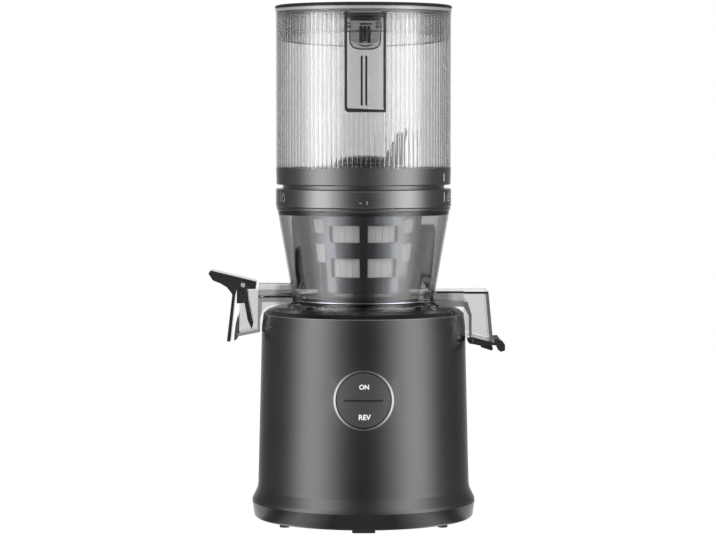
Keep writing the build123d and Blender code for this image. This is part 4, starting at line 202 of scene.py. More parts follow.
# Lamps, as (name, degrees from the front, distance, height, width, tall, radiance), in metres
SOFTBOXES = (("softbox_left", -53.0, 1.5, 0.35, 1.45, 1.7, 4.5),
             ("softbox_right", 53.0, 1.5, 0.35, 1.45, 1.7, 4.5),
             ("overhead", 180.0, 0.25, 1.6, 1.4, 1.2, 1.5))
LAMP_AIM = (0.0, 0.0, 0.2)

FLOOR_STEPS = 96
FLOOR_NEAR = 0.17               # radius of the inner part, in metres
FLOOR_REACH = 1.6               # radius of the whole
FLOOR_GREY = 0.05
FLOOR_ROUGHNESS = 0.9
# Pools of light painted on the floor as glow that reflections see, as (share of the turn from the
# front to the back, level)
NEAR_GLOW = ((0.0, 0.4), (0.11, 0.4), (0.16, 1.2), (0.2, 2.1), (0.245, 2.3), (0.295, 1.1),
             (0.34, 0.25), (0.40, 0.25), (0.46, 0.9), (1.0, 0.4))
FAR_GLOW = ((0.0, 0.08), (0.31, 0.15), (0.36, 1.2), (0.40, 4.4), (0.60, 4.4), (0.67, 2.4),
            (0.72, 0.3), (1.0, 0.15))

# ---------------------------------------------------------------- grain and smoke
NOISE_MIDDLE = (0.3, 0.7)       # where nearly all of a noise's values lie
FINE_DETAIL = 3.0
BROAD_DETAIL = 2.0
MOTTLE = 18.0                   # features per metre
CLEAR_MOTTLE = 14.0
EVEN = (1.0, 1.0, 1.0)
BRUSHED = (1.0, 1.0, 6.0)
FINE_BRUSHED = (1.0, 1.0, 8.0)
SMOKE = 0.6                     # the bowl's tint
SMOKE_REACH = (66.0, 72.0)      # where it ends, from the axis
SMOKE_GREY = 0.05               # what its thickness fades to


# ---------------------------------------------------------------- nodes
def grey(value, warm=0.0):
    return (value * (1.0 + warm), value, value * (1.0 - warm))


def new_material(name):
    mat = bpy.data.materials.new(name)
    mat.use_nodes = True
    tree = mat.node_tree
    return mat, tree, tree.nodes["Principled BSDF"]


def noise(tree, scale, detail, stretch=EVEN):
    """Noise in the object's own coordinates; scale is in features per metre."""
    place = tree.nodes.new("ShaderNodeTexCoord")
    mapping = tree.nodes.new("ShaderNodeMapping")
    mapping.inputs["Scale"].default_value = stretch
    texture = tree.nodes.new("ShaderNodeTexNoise")
    texture.inputs["Scale"].default_value = scale
    texture.inputs["Detail"].default_value = detail
    tree.links.new(place.outputs["Object"], mapping.inputs["Vector"])
    tree.links.new(mapping.outputs["Vector"], texture.inputs["Vector"])
    return texture


def spread(tree, source, low, high):
    """Maps a noise's middle range to values from low to high."""
    node = tree.nodes.new("ShaderNodeMapRange")
    node.inputs["From Min"].default_value = NOISE_MIDDLE[0]
    node.inputs["From Max"].default_value = NOISE_MIDDLE[1]
    node.inputs["To Min"].default_value = low
    node.inputs["To Max"].default_value = high
    tree.links.new(source.outputs["Fac"], node.inputs["Value"])
    return node


def tint(tree, source, dark, light):
    """Two colours mixed by a noise."""
    ramp = tree.nodes.new("ShaderNodeValToRGB")
    for element, position, colour in zip(ramp.color_ramp.elements, NOISE_MIDDLE, (dark, light)):
        element.position = position
        element.color = (*colour, 1.0)
    tree.links.new(source.outputs["Fac"], ramp.inputs["Fac"])
    return ramp


def bump(tree, bsdf, source, depth_mm):
    node = tree.nodes.new("ShaderNodeBump")
    node.inputs["Strength"].default_value = 1.0
    node.inputs["Distance"].default_value = depth_mm * MM
    tree.links.new(source.outputs["Fac"], node.inputs["Height"])
    tree.links.new(node.outputs["Normal"], bsdf.inputs["Normal"])


def solid(name, dark, light, rough, grain_mm, depth_mm, metallic=0.0, specular=0.5,
          stretch=EVEN, coat=0.0):
    """Opaque material with fine grain, uneven gloss and a slight mottle."""
    mat, tree, bsdf = new_material(name)
    fine = noise(tree, 1.0 / (grain_mm * MM), FINE_DETAIL, stretch)
    broad = noise(tree, MOTTLE, BROAD_DETAIL)
    colour = tint(tree, broad, dark, light)
    gloss = spread(tree, broad, *rough)
    tree.links.new(colour.outputs["Color"], bsdf.inputs["Base Color"])
    tree.links.new(gloss.outputs["Result"], bsdf.inputs["Roughness"])
    bsdf.inputs["Metallic"].default_value = metallic
    bsdf.inputs["Specular IOR Level"].default_value = specular
    bsdf.inputs["Coat Weight"].default_value = coat
    bump(tree, bsdf, fine, depth_mm)
    return mat


def maths(tree, operation, *values):
    """A math node; each value is a number or a socket."""
    node = tree.nodes.new("ShaderNodeMath")
    node.operation = operation
    for socket, value in zip(node.inputs, values):
        if isinstance(value, (int, float)):
            socket.default_value = value
        else:
            tree.links.new(value, socket)
    return node.outputs["Value"]


def ramp_of(tree, value, stops):
    """Grey ramp over a value from 0 to 1."""
    ramp = tree.nodes.new("ShaderNodeValToRGB")
    elements = ramp.color_ramp.elements
    for element, (position, level) in zip(elements, (stops[0], stops[-1])):
        element.position = position
        element.color = (*grey(level), 1.0)
    for position, level in stops[1:-1]:
        elements.new(position).color = (*grey(level), 1.0)
    tree.links.new(value, ramp.inputs["Fac"])
    return ramp.outputs["Color"]


def choose(tree, factor, first, second):
    """The first colour where the factor is 0, and the second where it is 1."""
    mix = tree.nodes.new("ShaderNodeMix")
    mix.data_type = "RGBA"
    tree.links.new(factor, mix.inputs["Factor"])
    for socket, value in ((mix.inputs["A"], first), (mix.inputs["B"], second)):
        if isinstance(value, tuple):
            socket.default_value = value
        else:
            tree.links.new(value, socket)
    return mix.outputs["Result"]


def axes(tree, coordinates):
    """The X, Y and Z sockets of a kind of coordinates."""
    place = tree.nodes.new("ShaderNodeTexCoord")
    split = tree.nodes.new("ShaderNodeSeparateXYZ")
    tree.links.new(place.outputs[coordinates], split.inputs["Vector"])
    return [split.outputs[axis] for axis in "XYZ"]


def smoked(tree, colour):
    """The colour, darker within the bowl's reach of the axis than in its spouts."""
    x = axes(tree, "Object")[0]
    fade = tree.nodes.new("ShaderNodeMapRange")
    fade.inputs["From Min"].default_value = SMOKE_REACH[0] * MM
    fade.inputs["From Max"].default_value = SMOKE_REACH[1] * MM
    tree.links.new(maths(tree, "ABSOLUTE", x), fade.inputs["Value"])
    return choose(tree, fade.outputs["Result"], (*grey(SMOKE), 1.0), colour)


def clear(name, dark, light, rough, ior, density=0.0, smoky=False, specular=0.5):
    """Clear moulded plastic, darker where the light runs a long way inside it; shadow
    rays pass through it, tinted."""
    mat, tree, bsdf = new_material(name)
    broad = noise(tree, CLEAR_MOTTLE, BROAD_DETAIL)
    colour = tint(tree, broad, dark, light).outputs["Color"]
    if smoky:
        colour = smoked(tree, colour)
    gloss = spread(tree, broad, *rough)
    tree.links.new(colour, bsdf.inputs["Base Color"])
    tree.links.new(gloss.outputs["Result"], bsdf.inputs["Roughness"])
    bsdf.inputs["Specular IOR Level"].default_value = specular
    bsdf.inputs["Transmission Weight"].default_value = 1.0
    bsdf.inputs["IOR"].default_value = ior
    rays = tree.nodes.new("ShaderNodeLightPath")
    through = tree.nodes.new("ShaderNodeBsdfTransparent")
    through.inputs["Color"].default_value = (*light, 1.0)
    mix = tree.nodes.new("ShaderNodeMixShader")
    out = tree.nodes["Material Output"]
    tree.links.new(rays.outputs["Is Shadow Ray"], mix.inputs[0])
    tree.links.new(bsdf.outputs["BSDF"], mix.inputs[1])
    tree.links.new(through.outputs["BSDF"], mix.inputs[2])
    tree.links.new(mix.outputs["Shader"], out.inputs["Surface"])
    if density:
        smoke = tree.nodes.new("ShaderNodeVolumeAbsorption")
        smoke.inputs["Color"].default_value = (*grey(SMOKE_GREY), 1.0)
        smoke.inputs["Density"].default_value = density
        tree.links.new(smoke.outputs["Volume"], out.inputs["Volume"])
    return mat


# ---------------------------------------------------------------- set
def set_camera():
    data = bpy.data.cameras.new("camera")
    camera = bpy.data.objects.new("camera", data)
    bpy.context.scene.collection.objects.link(camera)
    camera.location = Vector(CAMERA_PLACE) * MM
    aim = (Vector(CAMERA_AIM) - Vector(CAMERA_PLACE)) * MM
    camera.rotation_euler = aim.to_track_quat("-Z", "Y").to_euler()
    data.lens = CAMERA_LENS
    data.sensor_width = CAMERA_SENSOR
    data.clip_start, data.clip_end = CAMERA_CLIP
    bpy.context.scene.camera = camera


def by_direction(tree, x, y, stops):
    """Level by the direction from the axis; stops are (share of the turn from the front
    to the back, level)."""
    front = maths(tree, "MULTIPLY", y, -1.0)
    turn = maths(tree, "ARCTAN2", maths(tree, "ABSOLUTE", x), front)
    scaled = [(share, level / STUDIO_PEAK) for share, level in stops]
    level = ramp_of(tree, maths(tree, "DIVIDE", turn, math.pi), scaled)
    return maths(tree, "MULTIPLY", level, STUDIO_PEAK)


def mirrored(tree, x, y, z):
    """The studio as the object mirrors it: a level by direction, dimmer high up."""
    level = by_direction(tree, x, y, [(degrees / 180.0, level) for degrees, level in STUDIO_STOPS])
    fade = tree.nodes.new("ShaderNodeMapRange")
    fade.interpolation_type = "SMOOTHSTEP"
    fade.inputs["From Min"].default_value = STUDIO_TOP[0]
    fade.inputs["From Max"].default_value = STUDIO_TOP[1]
    fade.inputs["To Min"].default_value = 1.0
    fade.inputs["To Max"].default_value = STUDIO_TOP_SHARE
    tree.links.new(maths(tree, "ABSOLUTE", z), fade.inputs["Value"])
    return maths(tree, "MULTIPLY", level, fade.outputs["Result"])


def by_path(tree, straight, mirror):
    """Level for light that reaches the camera straight or through clear plastic, by a
    reflection, or after it was scattered."""
    rays = tree.nodes.new("ShaderNodeLightPath")
    reflected = maths(tree, "GREATER_THAN", rays.outputs["Glossy Depth"], ANY_BOUNCE)
    scattered = maths(tree, "GREATER_THAN", rays.outputs["Diffuse Depth"], ANY_BOUNCE)
    colour = choose(tree, reflected, straight, mirror)
    return choose(tree, scattered, colour, DIFFUSE_WHITE)


def set_world():
    """White backdrop. What shines through the clear plastic is bright along the axes and
    dimmer between."""
    world = bpy.data.worlds.new("studio")
    bpy.context.scene.world = world
    world.cycles.sampling_method = "NONE"
    world.use_nodes = True
    tree = world.node_tree
    x, y, z = axes(tree, "Generated")
    squares = [maths(tree, "MULTIPLY", side, side) for side in (x, y)]
    length = maths(tree, "SQRT", maths(tree, "ADD", *squares))
    nearest = maths(tree, "MAXIMUM", maths(tree, "ABSOLUTE", x), maths(tree, "ABSOLUTE", y))
    through = ramp_of(tree, maths(tree, "DIVIDE", nearest, length), THROUGH_STOPS)
    rays = tree.nodes.new("ShaderNodeLightPath")
    straight = choose(tree, rays.outputs["Is Camera Ray"], through, WHITE)
    colour = by_path(tree, straight, mirrored(tree, x, y, z))
    tree.links.new(colour, tree.nodes["Background"].inputs["Color"])


def set_lights():
    """Area lamps that light matt surfaces and don't show in reflections."""
    for name, azimuth, distance, height, width, tall, radiance in SOFTBOXES:
        data = bpy.data.lights.new(name, "AREA")
        data.shape = "RECTANGLE"
        data.size = width
        data.size_y = tall
        data.energy = radiance * math.pi * width * tall
        lamp = bpy.data.objects.new(name, data)
        bpy.context.scene.collection.objects.link(lamp)
        angle = math.radians(azimuth)
        lamp.location = (distance * math.sin(angle), -distance * math.cos(angle), height)
        aim = Vector(LAMP_AIM) - Vector(lamp.location)
        lamp.rotation_euler = aim.to_track_quat("-Z", "Y").to_euler()
        lamp.visible_camera = False
        lamp.visible_glossy = False


def floor_part(name, inner, outer, stops):
    """Flat ring or disc of the floor, in metres. Reflections see it glow in painted pools of
    light.
    """
    count = FLOOR_STEPS
    turns = [2 * math.pi * i / count for i in range(count)]
    if inner:
        rim = [(r * math.cos(a), r * math.sin(a), 0.0) for r in (inner, outer) for a in turns]
        faces = [(i, (i + 1) % count, count + (i + 1) % count, count + i) for i in range(count)]
    else:
        rim = [(outer * math.cos(a), outer * math.sin(a), 0.0) for a in turns]
        faces = [tuple(range(count))]
    mesh = bpy.data.meshes.new(name)
    mesh.from_pydata(rim, [], faces)
    part = bpy.data.objects.new(name, mesh)
    bpy.context.scene.collection.objects.link(part)
    mat, tree, bsdf = new_material(name)
    bsdf.inputs["Base Color"].default_value = (*grey(FLOOR_GREY), 1.0)
    bsdf.inputs["Roughness"].default_value = FLOOR_ROUGHNESS
    bsdf.inputs["Specular IOR Level"].default_value = 0.0
    bsdf.inputs["Emission Strength"].default_value = 1.0
    x, y, _ = axes(tree, "Object")
    level = by_path(tree, WHITE, by_direction(tree, x, y, stops))
    tree.links.new(level, bsdf.inputs["Emission Color"])
    mesh.materials.append(mat)
    return part


def set_floor():
    """Plain white floor. Only its part near the object shows in outer reflections, where it glows
    in painted pools of light on either side, standing in for the softboxes' light; farther out the
    reflections see the studio itself."""
    inside = floor_part("floor_near", 0, FLOOR_NEAR, NEAR_GLOW)
    outside = floor_part("floor_far", FLOOR_NEAR, FLOOR_REACH, FAR_GLOW)
    outside.visible_glossy = False


# ---------------------------------------------------------------- finishes
# Colours and roughness are ranges that a broad noise fills; grain is in millimetres
OPAQUE = {
    "satin_body": dict(dark=(0.0020, 0.0026, 0.0025), light=(0.0026, 0.0033, 0.0032),
                       rough=(0.26, 0.31), grain_mm=0.35, depth_mm=0.003),
    "gloss_base": dict(dark=(0.0030, 0.0034, 0.0034), light=(0.0040, 0.0044, 0.0044),
                       rough=(0.12, 0.17), grain_mm=0.4, depth_mm=0.002),
    "black_plastic": dict(dark=grey(0.004), light=grey(0.006), rough=(0.34, 0.42),
                          grain_mm=0.4, depth_mm=0.006),
    "rubber": dict(dark=grey(0.012), light=grey(0.018), rough=(0.6, 0.75), grain_mm=0.6,
                   depth_mm=0.02),
    "bright_metal": dict(dark=grey(0.23), light=grey(0.28), rough=(0.08, 0.14), grain_mm=0.3,
                         depth_mm=0.001, metallic=1.0, stretch=FINE_BRUSHED),
    "button_face": dict(dark=(0.009, 0.0094, 0.0094), light=(0.0105, 0.011, 0.011),
                        rough=(0.4, 0.46), grain_mm=0.3, depth_mm=0.004),
    "steel": dict(dark=grey(0.45), light=grey(0.55), rough=(0.25, 0.35), grain_mm=0.3,
                  depth_mm=0.002, metallic=1.0, stretch=BRUSHED),
    "copper": dict(dark=(0.55, 0.22, 0.10), light=(0.65, 0.28, 0.13), rough=(0.3, 0.4),
                   grain_mm=0.6, depth_mm=0.05, metallic=1.0),
    "bronze": dict(dark=(0.42, 0.26, 0.10), light=(0.5, 0.32, 0.14), rough=(0.35, 0.45),
                   grain_mm=0.4, depth_mm=0.01, metallic=1.0),
    "board_green": dict(dark=(0.02, 0.10, 0.05), light=(0.03, 0.13, 0.06), rough=(0.35, 0.5),
                        grain_mm=1.0, depth_mm=0.02),
    "components": dict(dark=grey(0.03), light=grey(0.06), rough=(0.3, 0.5), grain_mm=1.5,
                       depth_mm=0.02),
    "gear_nylon": dict(dark=grey(0.60, 0.03), light=grey(0.68, 0.03), rough=(0.4, 0.5),
                       grain_mm=0.5, depth_mm=0.01),
    "ring_smoke": dict(dark=(0.0065, 0.0070, 0.0080), light=(0.0080, 0.0085, 0.0095),
                       rough=(0.17, 0.22), grain_mm=0.5, depth_mm=0.002, specular=1.0),
    "band_smoke": dict(dark=(0.0095, 0.0100, 0.0105), light=(0.0115, 0.0120, 0.0125),
                       rough=(0.22, 0.28), grain_mm=0.5, depth_mm=0.002, specular=0.75),
    "cage_satin": dict(dark=(0.186, 0.198, 0.220), light=(0.206, 0.218, 0.240),
                       rough=(0.14, 0.18), grain_mm=0.5, depth_mm=0.002, metallic=1.0),
    "wiper_black": dict(dark=grey(0.003), light=grey(0.004), rough=(0.4, 0.5), grain_mm=0.5,
                        depth_mm=0.004, specular=0.25),
    "flange_light": dict(dark=grey(0.20), light=grey(0.24), rough=(0.2, 0.3), grain_mm=0.5,
                         depth_mm=0.002),
    # Grey for marks on the rings; along the wiper web's edge the same grey is a painted highlight.
    "mark_grey": dict(dark=grey(0.20), light=grey(0.25), rough=(0.4, 0.5), grain_mm=0.4,
                      depth_mm=0.002),
    # Faint grey for lines; on the housing's shoulder the same grey is a painted highlight.
    "mark_faint": dict(dark=grey(0.06), light=grey(0.08), rough=(0.3, 0.4), grain_mm=0.4,
                       depth_mm=0.002),
    "mark_white": dict(dark=grey(0.56), light=grey(0.62), rough=(0.4, 0.5), grain_mm=0.4,
                       depth_mm=0.002),
    "dark_gloss": dict(dark=(0.008, 0.0085, 0.009), light=(0.010, 0.0105, 0.011),
                       rough=(0.12, 0.18), grain_mm=0.6, depth_mm=0.002, coat=0.3),
    "strainer_grey": dict(dark=grey(0.56), light=grey(0.62), rough=(0.3, 0.4), grain_mm=0.5,
                          depth_mm=0.005),
    "auger_black": dict(dark=grey(0.003), light=grey(0.005), rough=(0.3, 0.4), grain_mm=0.5,
                        depth_mm=0.004, specular=0.3),
    "socket_grey": dict(dark=grey(0.15), light=grey(0.2), rough=(0.3, 0.4), grain_mm=0.5,
                        depth_mm=0.005),
    "lid_satin": dict(dark=grey(0.014), light=grey(0.018), rough=(0.4, 0.5), grain_mm=0.5,
                      depth_mm=0.004, specular=0.03),
}
SEE_THROUGH = {
    "smoke_clear": dict(dark=grey(0.87), light=grey(0.91), rough=(0.024, 0.056), ior=1.42,
                        density=42.0, smoky=True, specular=0.2),
    "clear": dict(dark=grey(0.65), light=grey(0.69), rough=(0.024, 0.056), ior=1.38),
}
DEFAULT_FINISH = "black_plastic"
# Nodes whose finish differs from the others in their slot
OWN_FINISH = {"chamber_ring": "ring_smoke", "hopper_ring": "band_smoke",
              "wiper_frame": "cage_satin", "wiper_blades": "wiper_black",
              "latch_frame": "wiper_black", "lid_plate": "lid_satin"}


def finishes():
    looks = {name: solid(name, **look) for name, look in OPAQUE.items()}
    looks.update({name: clear(name, **look) for name, look in SEE_THROUGH.items()})
    return looks


def dress(frame, looks):
    """Gives every CAD node the procedural material of its slot, or its own finish."""
    for name, node in frame["nodes"].items():
        slots = [m.name.split(".")[0] for m in node.data.materials if m]
        known = [slot for slot in slots if slot in looks]
        node.data.materials.clear()
        finish = OWN_FINISH.get(name, known[0] if known else DEFAULT_FINISH)
        node.data.materials.append(looks[finish])


# ---------------------------------------------------------------- building blocks
def new_piece(name, points, faces, material, body):
    """Mesh from points in millimetres that rides on a body."""
    mesh = bpy.data.meshes.new(name)
    mesh.from_pydata([Vector(p) * MM for p in points], [], faces)
    piece = bpy.data.objects.new(name, mesh)
    bpy.context.scene.collection.objects.link(piece)
    shade(mesh)
    mesh.materials.append(material)
    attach(piece, body)
    return piece


def shade(mesh):
    """Outward normals, and smooth shading but over sharp edges."""
    work = bmesh.new()
    work.from_mesh(mesh)
    bmesh.ops.recalc_face_normals(work, faces=work.faces)
    work.to_mesh(mesh)
    work.free()
    mesh.shade_smooth()
    mesh.set_sharp_from_angle(angle=math.radians(SMOOTH_ANGLE))


def merged(parts):
    """Several (points, faces) as one."""
    points, faces = [], []
    for more, polygons in parts:
        faces += [tuple(len(points) + k for k in face) for face in polygons]
        points += more
    return points, faces


def on_tube(radius):
    """Places (s, z, lift) on an upright cylinder; s runs round its front to the right."""
    def place(s, z, lift):
        turn = s / radius
        return ((radius + lift) * math.sin(turn), -(radius + lift) * math.cos(turn), z)
    return place


def on_plane(front):
    """Places (x, z, lift) on an upright plane that faces the front."""
    return lambda x, z, lift: (x, front - lift, z)


def on_body(s, z, lift):
    """Places (s, z, lift) on the housing's tapering wall."""
    radius = BODY_RADIUS - (z - BODY_FOOT_Z) * BODY_SLOPE + lift
    turn = s / BODY_RADIUS
    return (radius * math.sin(turn), -radius * math.cos(turn), z)


def ribbon(path, width, place, lift, sunk, closed):
    """Raised line along a path of (s, z), a little narrower on top."""
    count = len(path)
    points, faces = [], []
    section = ((1, -sunk), (-1, -sunk), (-RIBBON_TOP, lift), (RIBBON_TOP, lift))
    for i, (s, z) in enumerate(path):
        before = path[i - 1] if i or closed else path[0]
        after = path[(i + 1) % count] if i < count - 1 or closed else path[-1]
        along = Vector((after[0] - before[0], after[1] - before[1])).normalized()
        side = Vector((-along.y, along.x)) * width / 2
        for share, height in section:
            points.append(place(s + share * side.x, z + share * side.y, height))
    last = count if closed else count - 1
    for i in range(last):
        a, b = 4 * i, 4 * ((i + 1) % count)
        for k in range(4):
            faces.append((a + k, a + (k + 1) % 4, b + (k + 1) % 4, b + k))
    if not closed:
        faces += [(0, 1, 2, 3), tuple(4 * (count - 1) + k for k in (3, 2, 1, 0))]
    return points, faces


def straight(start, end):
    """Points from start to end, no farther apart than a step."""
    count = max(1, math.ceil(math.dist(start, end) / PATH_STEP))
    return [tuple(a + (b - a) * i / count for a, b in zip(start, end)) for i in range(count + 1)]


def corners_path(corners):
    """Points along the straight runs between corners, up to the last corner."""
    path = []
    for start, end in zip(corners, corners[1:]):
        path += straight(start, end)[:-1]
    return path


def strokes(name, lines, place, lift, material, body, sunk=SUNK):
    """One piece of several raised lines, each (path, width, closed)."""
    parts = [ribbon(path, width, place, lift, sunk, closed) for path, width, closed in lines]
    return new_piece(name, *merged(parts), material, body)


def line(name, paths, place, material, body, closed=False):
    """One piece of raised lines of the size that LINE_SIZES gives."""
    width, lift, sunk = LINE_SIZES[name]
    lines = [(path, width, closed) for path in paths]
    return strokes(name, lines, place, lift, material, body, sunk)


def lathe(name, profile, steps, material, body, ribs=0.0):
    """Closed profile of (radius, z) turned round the axis; every other step stands out by
    the ribs' depth."""
    points, faces = [], []
    count = len(profile)
    for i in range(steps):
        turn = 2 * math.pi * i / steps
        grow = ribs * (i % 2)
        points += [((r + grow) * math.sin(turn), -(r + grow) * math.cos(turn), z)
                   for r, z in profile]
    for i in range(steps):
        a, b = i * count, (i + 1) % steps * count
        for k in range(count):
            m = (k + 1) % count
            faces.append((a + k, a + m, b + m, b + k))
    return new_piece(name, points, faces, material, body)


def plate(outline, front, back):
    """Points and faces of a flat plate with an outline of (x, z), facing the front."""
    count = len(outline)
    points = [(x, y, z) for y in (front, back) for x, z in outline]
    faces = [tuple(range(count)), tuple(range(2 * count - 1, count - 1, -1))]
    for i in range(count):
        j = (i + 1) % count
        faces.append((i, j, count + j, count + i))
    return points, faces


def lettering(name, words, place, lift, material, body):
    """Raised words, each (text, s, z, height, boldness), on one piece."""
    parts = []
    for text, s, z, height, bold in words:
        data = bpy.data.curves.new(name, "FONT")
        data.body = text
        data.align_x = "CENTER"
        data.align_y = "CENTER"
        data.size = height / CAP_HEIGHT
        data.offset = bold
        data.extrude = FONT_DEPTH
        word = bpy.data.objects.new(name, data)
        mesh = bpy.data.meshes.new_from_object(word)
        points = [place(s + x, z + y, lift if depth > 0 else -SUNK)
                  for x, y, depth in (vertex.co for vertex in mesh.vertices)]
        parts.append((points, [tuple(face.vertices) for face in mesh.polygons]))
        bpy.data.objects.remove(word)
        bpy.data.curves.remove(data)
        bpy.data.meshes.remove(mesh)
    return new_piece(name, *merged(parts), material, body)


# ---------------------------------------------------------------- pieces
def hopper_columns():
    """Points round the hopper as (turn, outer, inner, in_window), and the turns of the
    window's sides, which are exact."""
    columns = []
    edges = []
    for side in (-1, 1):
        x = LATCH_X + side * WINDOW_HALF
        outer = (x, -math.sqrt(HOPPER_RADIUS ** 2 - x * x))
        inner = (x, -math.sqrt(HOPPER_BORE ** 2 - x * x))
        edges.append((math.atan2(x, -outer[1]), outer, inner))
    count = FLUTES * FLUTE_STEPS
    for i in range(count):
        turn = 2 * math.pi * i / count - math.pi
        if any(abs(turn - edge[0]) < math.pi / count for edge in edges):
            continue
        place = (FLUTES * turn / (2 * math.pi)) % 1.0 - 0.5
        rib = max(0.0, 1.0 - (2 * place / FLUTE_SHARE) ** 2)
        inner_r = HOPPER_BORE - FLUTE_DEPTH * math.sqrt(rib)
        outer_r = HOPPER_RADIUS - RIPPLE * (1 - math.cos(FLUTES * turn))
        outer = (outer_r * math.sin(turn), -outer_r * math.cos(turn))
        inner = (inner_r * math.sin(turn), -inner_r * math.cos(turn))
        columns.append((turn, outer, inner, edges[0][0] < turn < edges[1][0]))
    columns += [(*edge, False) for edge in edges]
    columns.sort()
    return columns, [edge[0] for edge in edges]


def fluted_tube(frame, looks):
    """The hopper's wall with flutes inside; it keeps the hinge ears of the CAD node."""
    columns, edges = hopper_columns()
    levels = (HOPPER_Z0, WINDOW_Z0, HOPPER_TOP_Z)
    points, index = [], {}
    for c, (_, outer, inner, in_window) in enumerate(columns):
        for k, z in enumerate(levels[:2] if in_window else levels):
            for skin, (x, y) in enumerate((outer, inner)):
                index[c, k, skin] = len(points)
                points.append((x, y, z))
    faces = []
    count = len(columns)
    for c in range(count):
        d = (c + 1) % count
        top = 1 if columns[c][3] or columns[d][3] else 2
        for skin in (0, 1):
            for k in range(top):
                faces.append((index[c, k, skin], index[d, k, skin], index[d, k + 1, skin],
                              index[c, k + 1, skin]))
        for k in (0, top):
            faces.append((index[c, k, 0], index[d, k, 0], index[d, k, 1], index[c, k, 1]))
    for c, column in enumerate(columns):
        if column[0] in edges:
            faces.append((index[c, 1, 0], index[c, 1, 1], index[c, 2, 1], index[c, 2, 0]))
    tube = new_piece("hopper_fluted_tube", points, faces, looks["clear"], "hopper")
    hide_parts("hopper_tube")
    hinge_ears(frame["nodes"]["hopper_tube"], looks["clear"])


def hinge_ears(node, material):
    """The hinge ears alone, from the CAD node's mesh."""
    work = bmesh.new()
    work.from_mesh(node.data)
    reach = (HOPPER_RADIUS + WALL_TOLERANCE) * MM
    wall = [face for face in work.faces if all(v.co.xy.length < reach for v in face.verts)]
    bmesh.ops.delete(work, geom=wall, context="FACES")
    mesh = bpy.data.meshes.new("hopper_hinge_ears")
    work.to_mesh(mesh)
    work.free()
    mesh.materials.clear()
    mesh.materials.append(material)
    ears = bpy.data.objects.new("hopper_hinge_ears", mesh)
    bpy.context.scene.collection.objects.link(ears)
    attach(ears, "hopper")


def button_details(looks):
    """ON and REV on the rocker, and a black line along its groove, which is painted shade of the
    groove.
    """
    lettering("button_lettering", BUTTON_WORDS, on_body, BUTTON_PROUD + LETTER_PROUD,
              looks["mark_white"], "button")
    # Black line along the groove: painted shade standing in for the groove's shadow.
    groove = straight((-GROOVE_HALF, GROOVE_Z), (GROOVE_HALF, GROOVE_Z))
    line("button_groove_shade_line", [groove], on_body, looks["wiper_black"], "button")


def marks(looks):
    """Plain alignment lines, a drop, a padlock and a small panel outline."""
    widening, squeeze = DROP_SHAPE
    drop = []
    for i in range(DROP_STEPS):
        turn = 2 * math.pi * i / DROP_STEPS
        across = DROP_SIZE * math.sin(turn) * math.sin(turn / 2) ** widening
        up = DROP_SIZE * math.cos(turn) * squeeze
        drop.append((DROP_PLACE[0] + across, DROP_PLACE[1] + up))
    lines = [(drop, OUTLINE_WIDTH, True), (PADLOCK_BOW, OUTLINE_WIDTH, False)]
    lines += [(straight(start, end), width, False) for start, end, width in RING_MARKS]
    place = on_tube(RING_RADIUS)
    strokes("ring_marks", lines, place, MARK_PROUD, looks["mark_grey"], "chamber")
    border = corners_path([*RING_PANEL, RING_PANEL[0]])
    line("ring_panel_edge", [border], place, looks["mark_faint"], "chamber", closed=True)
    start, end, width = BAND_MARK
    strokes("band_mark", [(straight(start, end), width, False)], on_tube(BAND_RADIUS),
            MARK_PROUD, looks["mark_grey"], "hopper")


def latch_bars(looks):
    """Dark bars and a grip on the latch."""
    parts = []
    for left, right, low, high, proud in LATCH_BARS:
        left, right = LATCH_X + left, LATCH_X + right
        outline = [(left, low), (right, low), (right, high), (left, high)]
        parts.append(plate(outline, LATCH_FRONT - proud, LATCH_FRONT + BAR_SUNK))
    across, down = GRIP_CHAMFER
    for left, low in LATCH_GRIPS:
        left, right = LATCH_X + left, LATCH_X + left + GRIP_WIDTH
        outline = [(left, low), (right, low), (right, GRIP_TOP_Z - down),
                   (right - across, GRIP_TOP_Z), (left + across, GRIP_TOP_Z),
                   (left, GRIP_TOP_Z - down)]
        parts.append(plate(outline, LATCH_FRONT - GRIP_PROUD, LATCH_FRONT + BAR_SUNK))
    new_piece("latch_grip_bars", *merged(parts), looks["dark_gloss"], "latch")


def latch_cup(looks):
    """Clear cup on the latch, with a dark rim and a lens-shaped foot."""
    rounded = []
    for i in range(CUP_STEPS):
        turn = math.pi * (0.5 + i) / CUP_STEPS
        across = math.copysign(abs(math.cos(turn)) ** CUP_SQUARENESS, math.cos(turn))
        down = math.sin(turn) ** CUP_SQUARENESS
        rounded.append((LATCH_X + CUP_HALF * across, CUP_CURVE_Z - CUP_DEPTH * down))
    cup = [(LATCH_X + CUP_EDGE_HALF, CUP_TOP_Z), *rounded, (LATCH_X - CUP_EDGE_HALF, CUP_TOP_Z)]
    points, faces = plate(cup, LATCH_FRONT - CUP_PROUD, LATCH_FRONT + CUP_PROUD)
    new_piece("latch_cup", points, faces, looks["clear"], "latch")
    half, low, rise = CUP_LENS
    shares = [2 * i / LENS_STEPS - 1 for i in range(LENS_STEPS + 1)]
    lens = [(LATCH_X + half * share, low + rise * share * share) for share in shares]
    line("latch_cup_rim", [cup, lens], on_plane(LATCH_FRONT - CUP_PROUD), looks["wiper_black"],
         "latch")


def window_lines(looks):
    """Strips on the latch pane's guide ribs, and the line round the hopper's window."""
    strips = [straight((LATCH_X + rib, PANE_RIB_Z[0]), (LATCH_X + rib, PANE_RIB_Z[1]))
              for rib in PANE_RIBS]
    line("pane_guide_strips", strips, on_plane(PANE_BACK), looks["wiper_black"], "hopper")
    border = corners_path([(LATCH_X + across, z) for across, z in WINDOW_LINE])
    border = [(HOPPER_RADIUS * math.asin(x / HOPPER_RADIUS), z) for x, z in border]
    line("window_frame_line", [border], on_tube(HOPPER_RADIUS), looks["wiper_black"], "hopper")


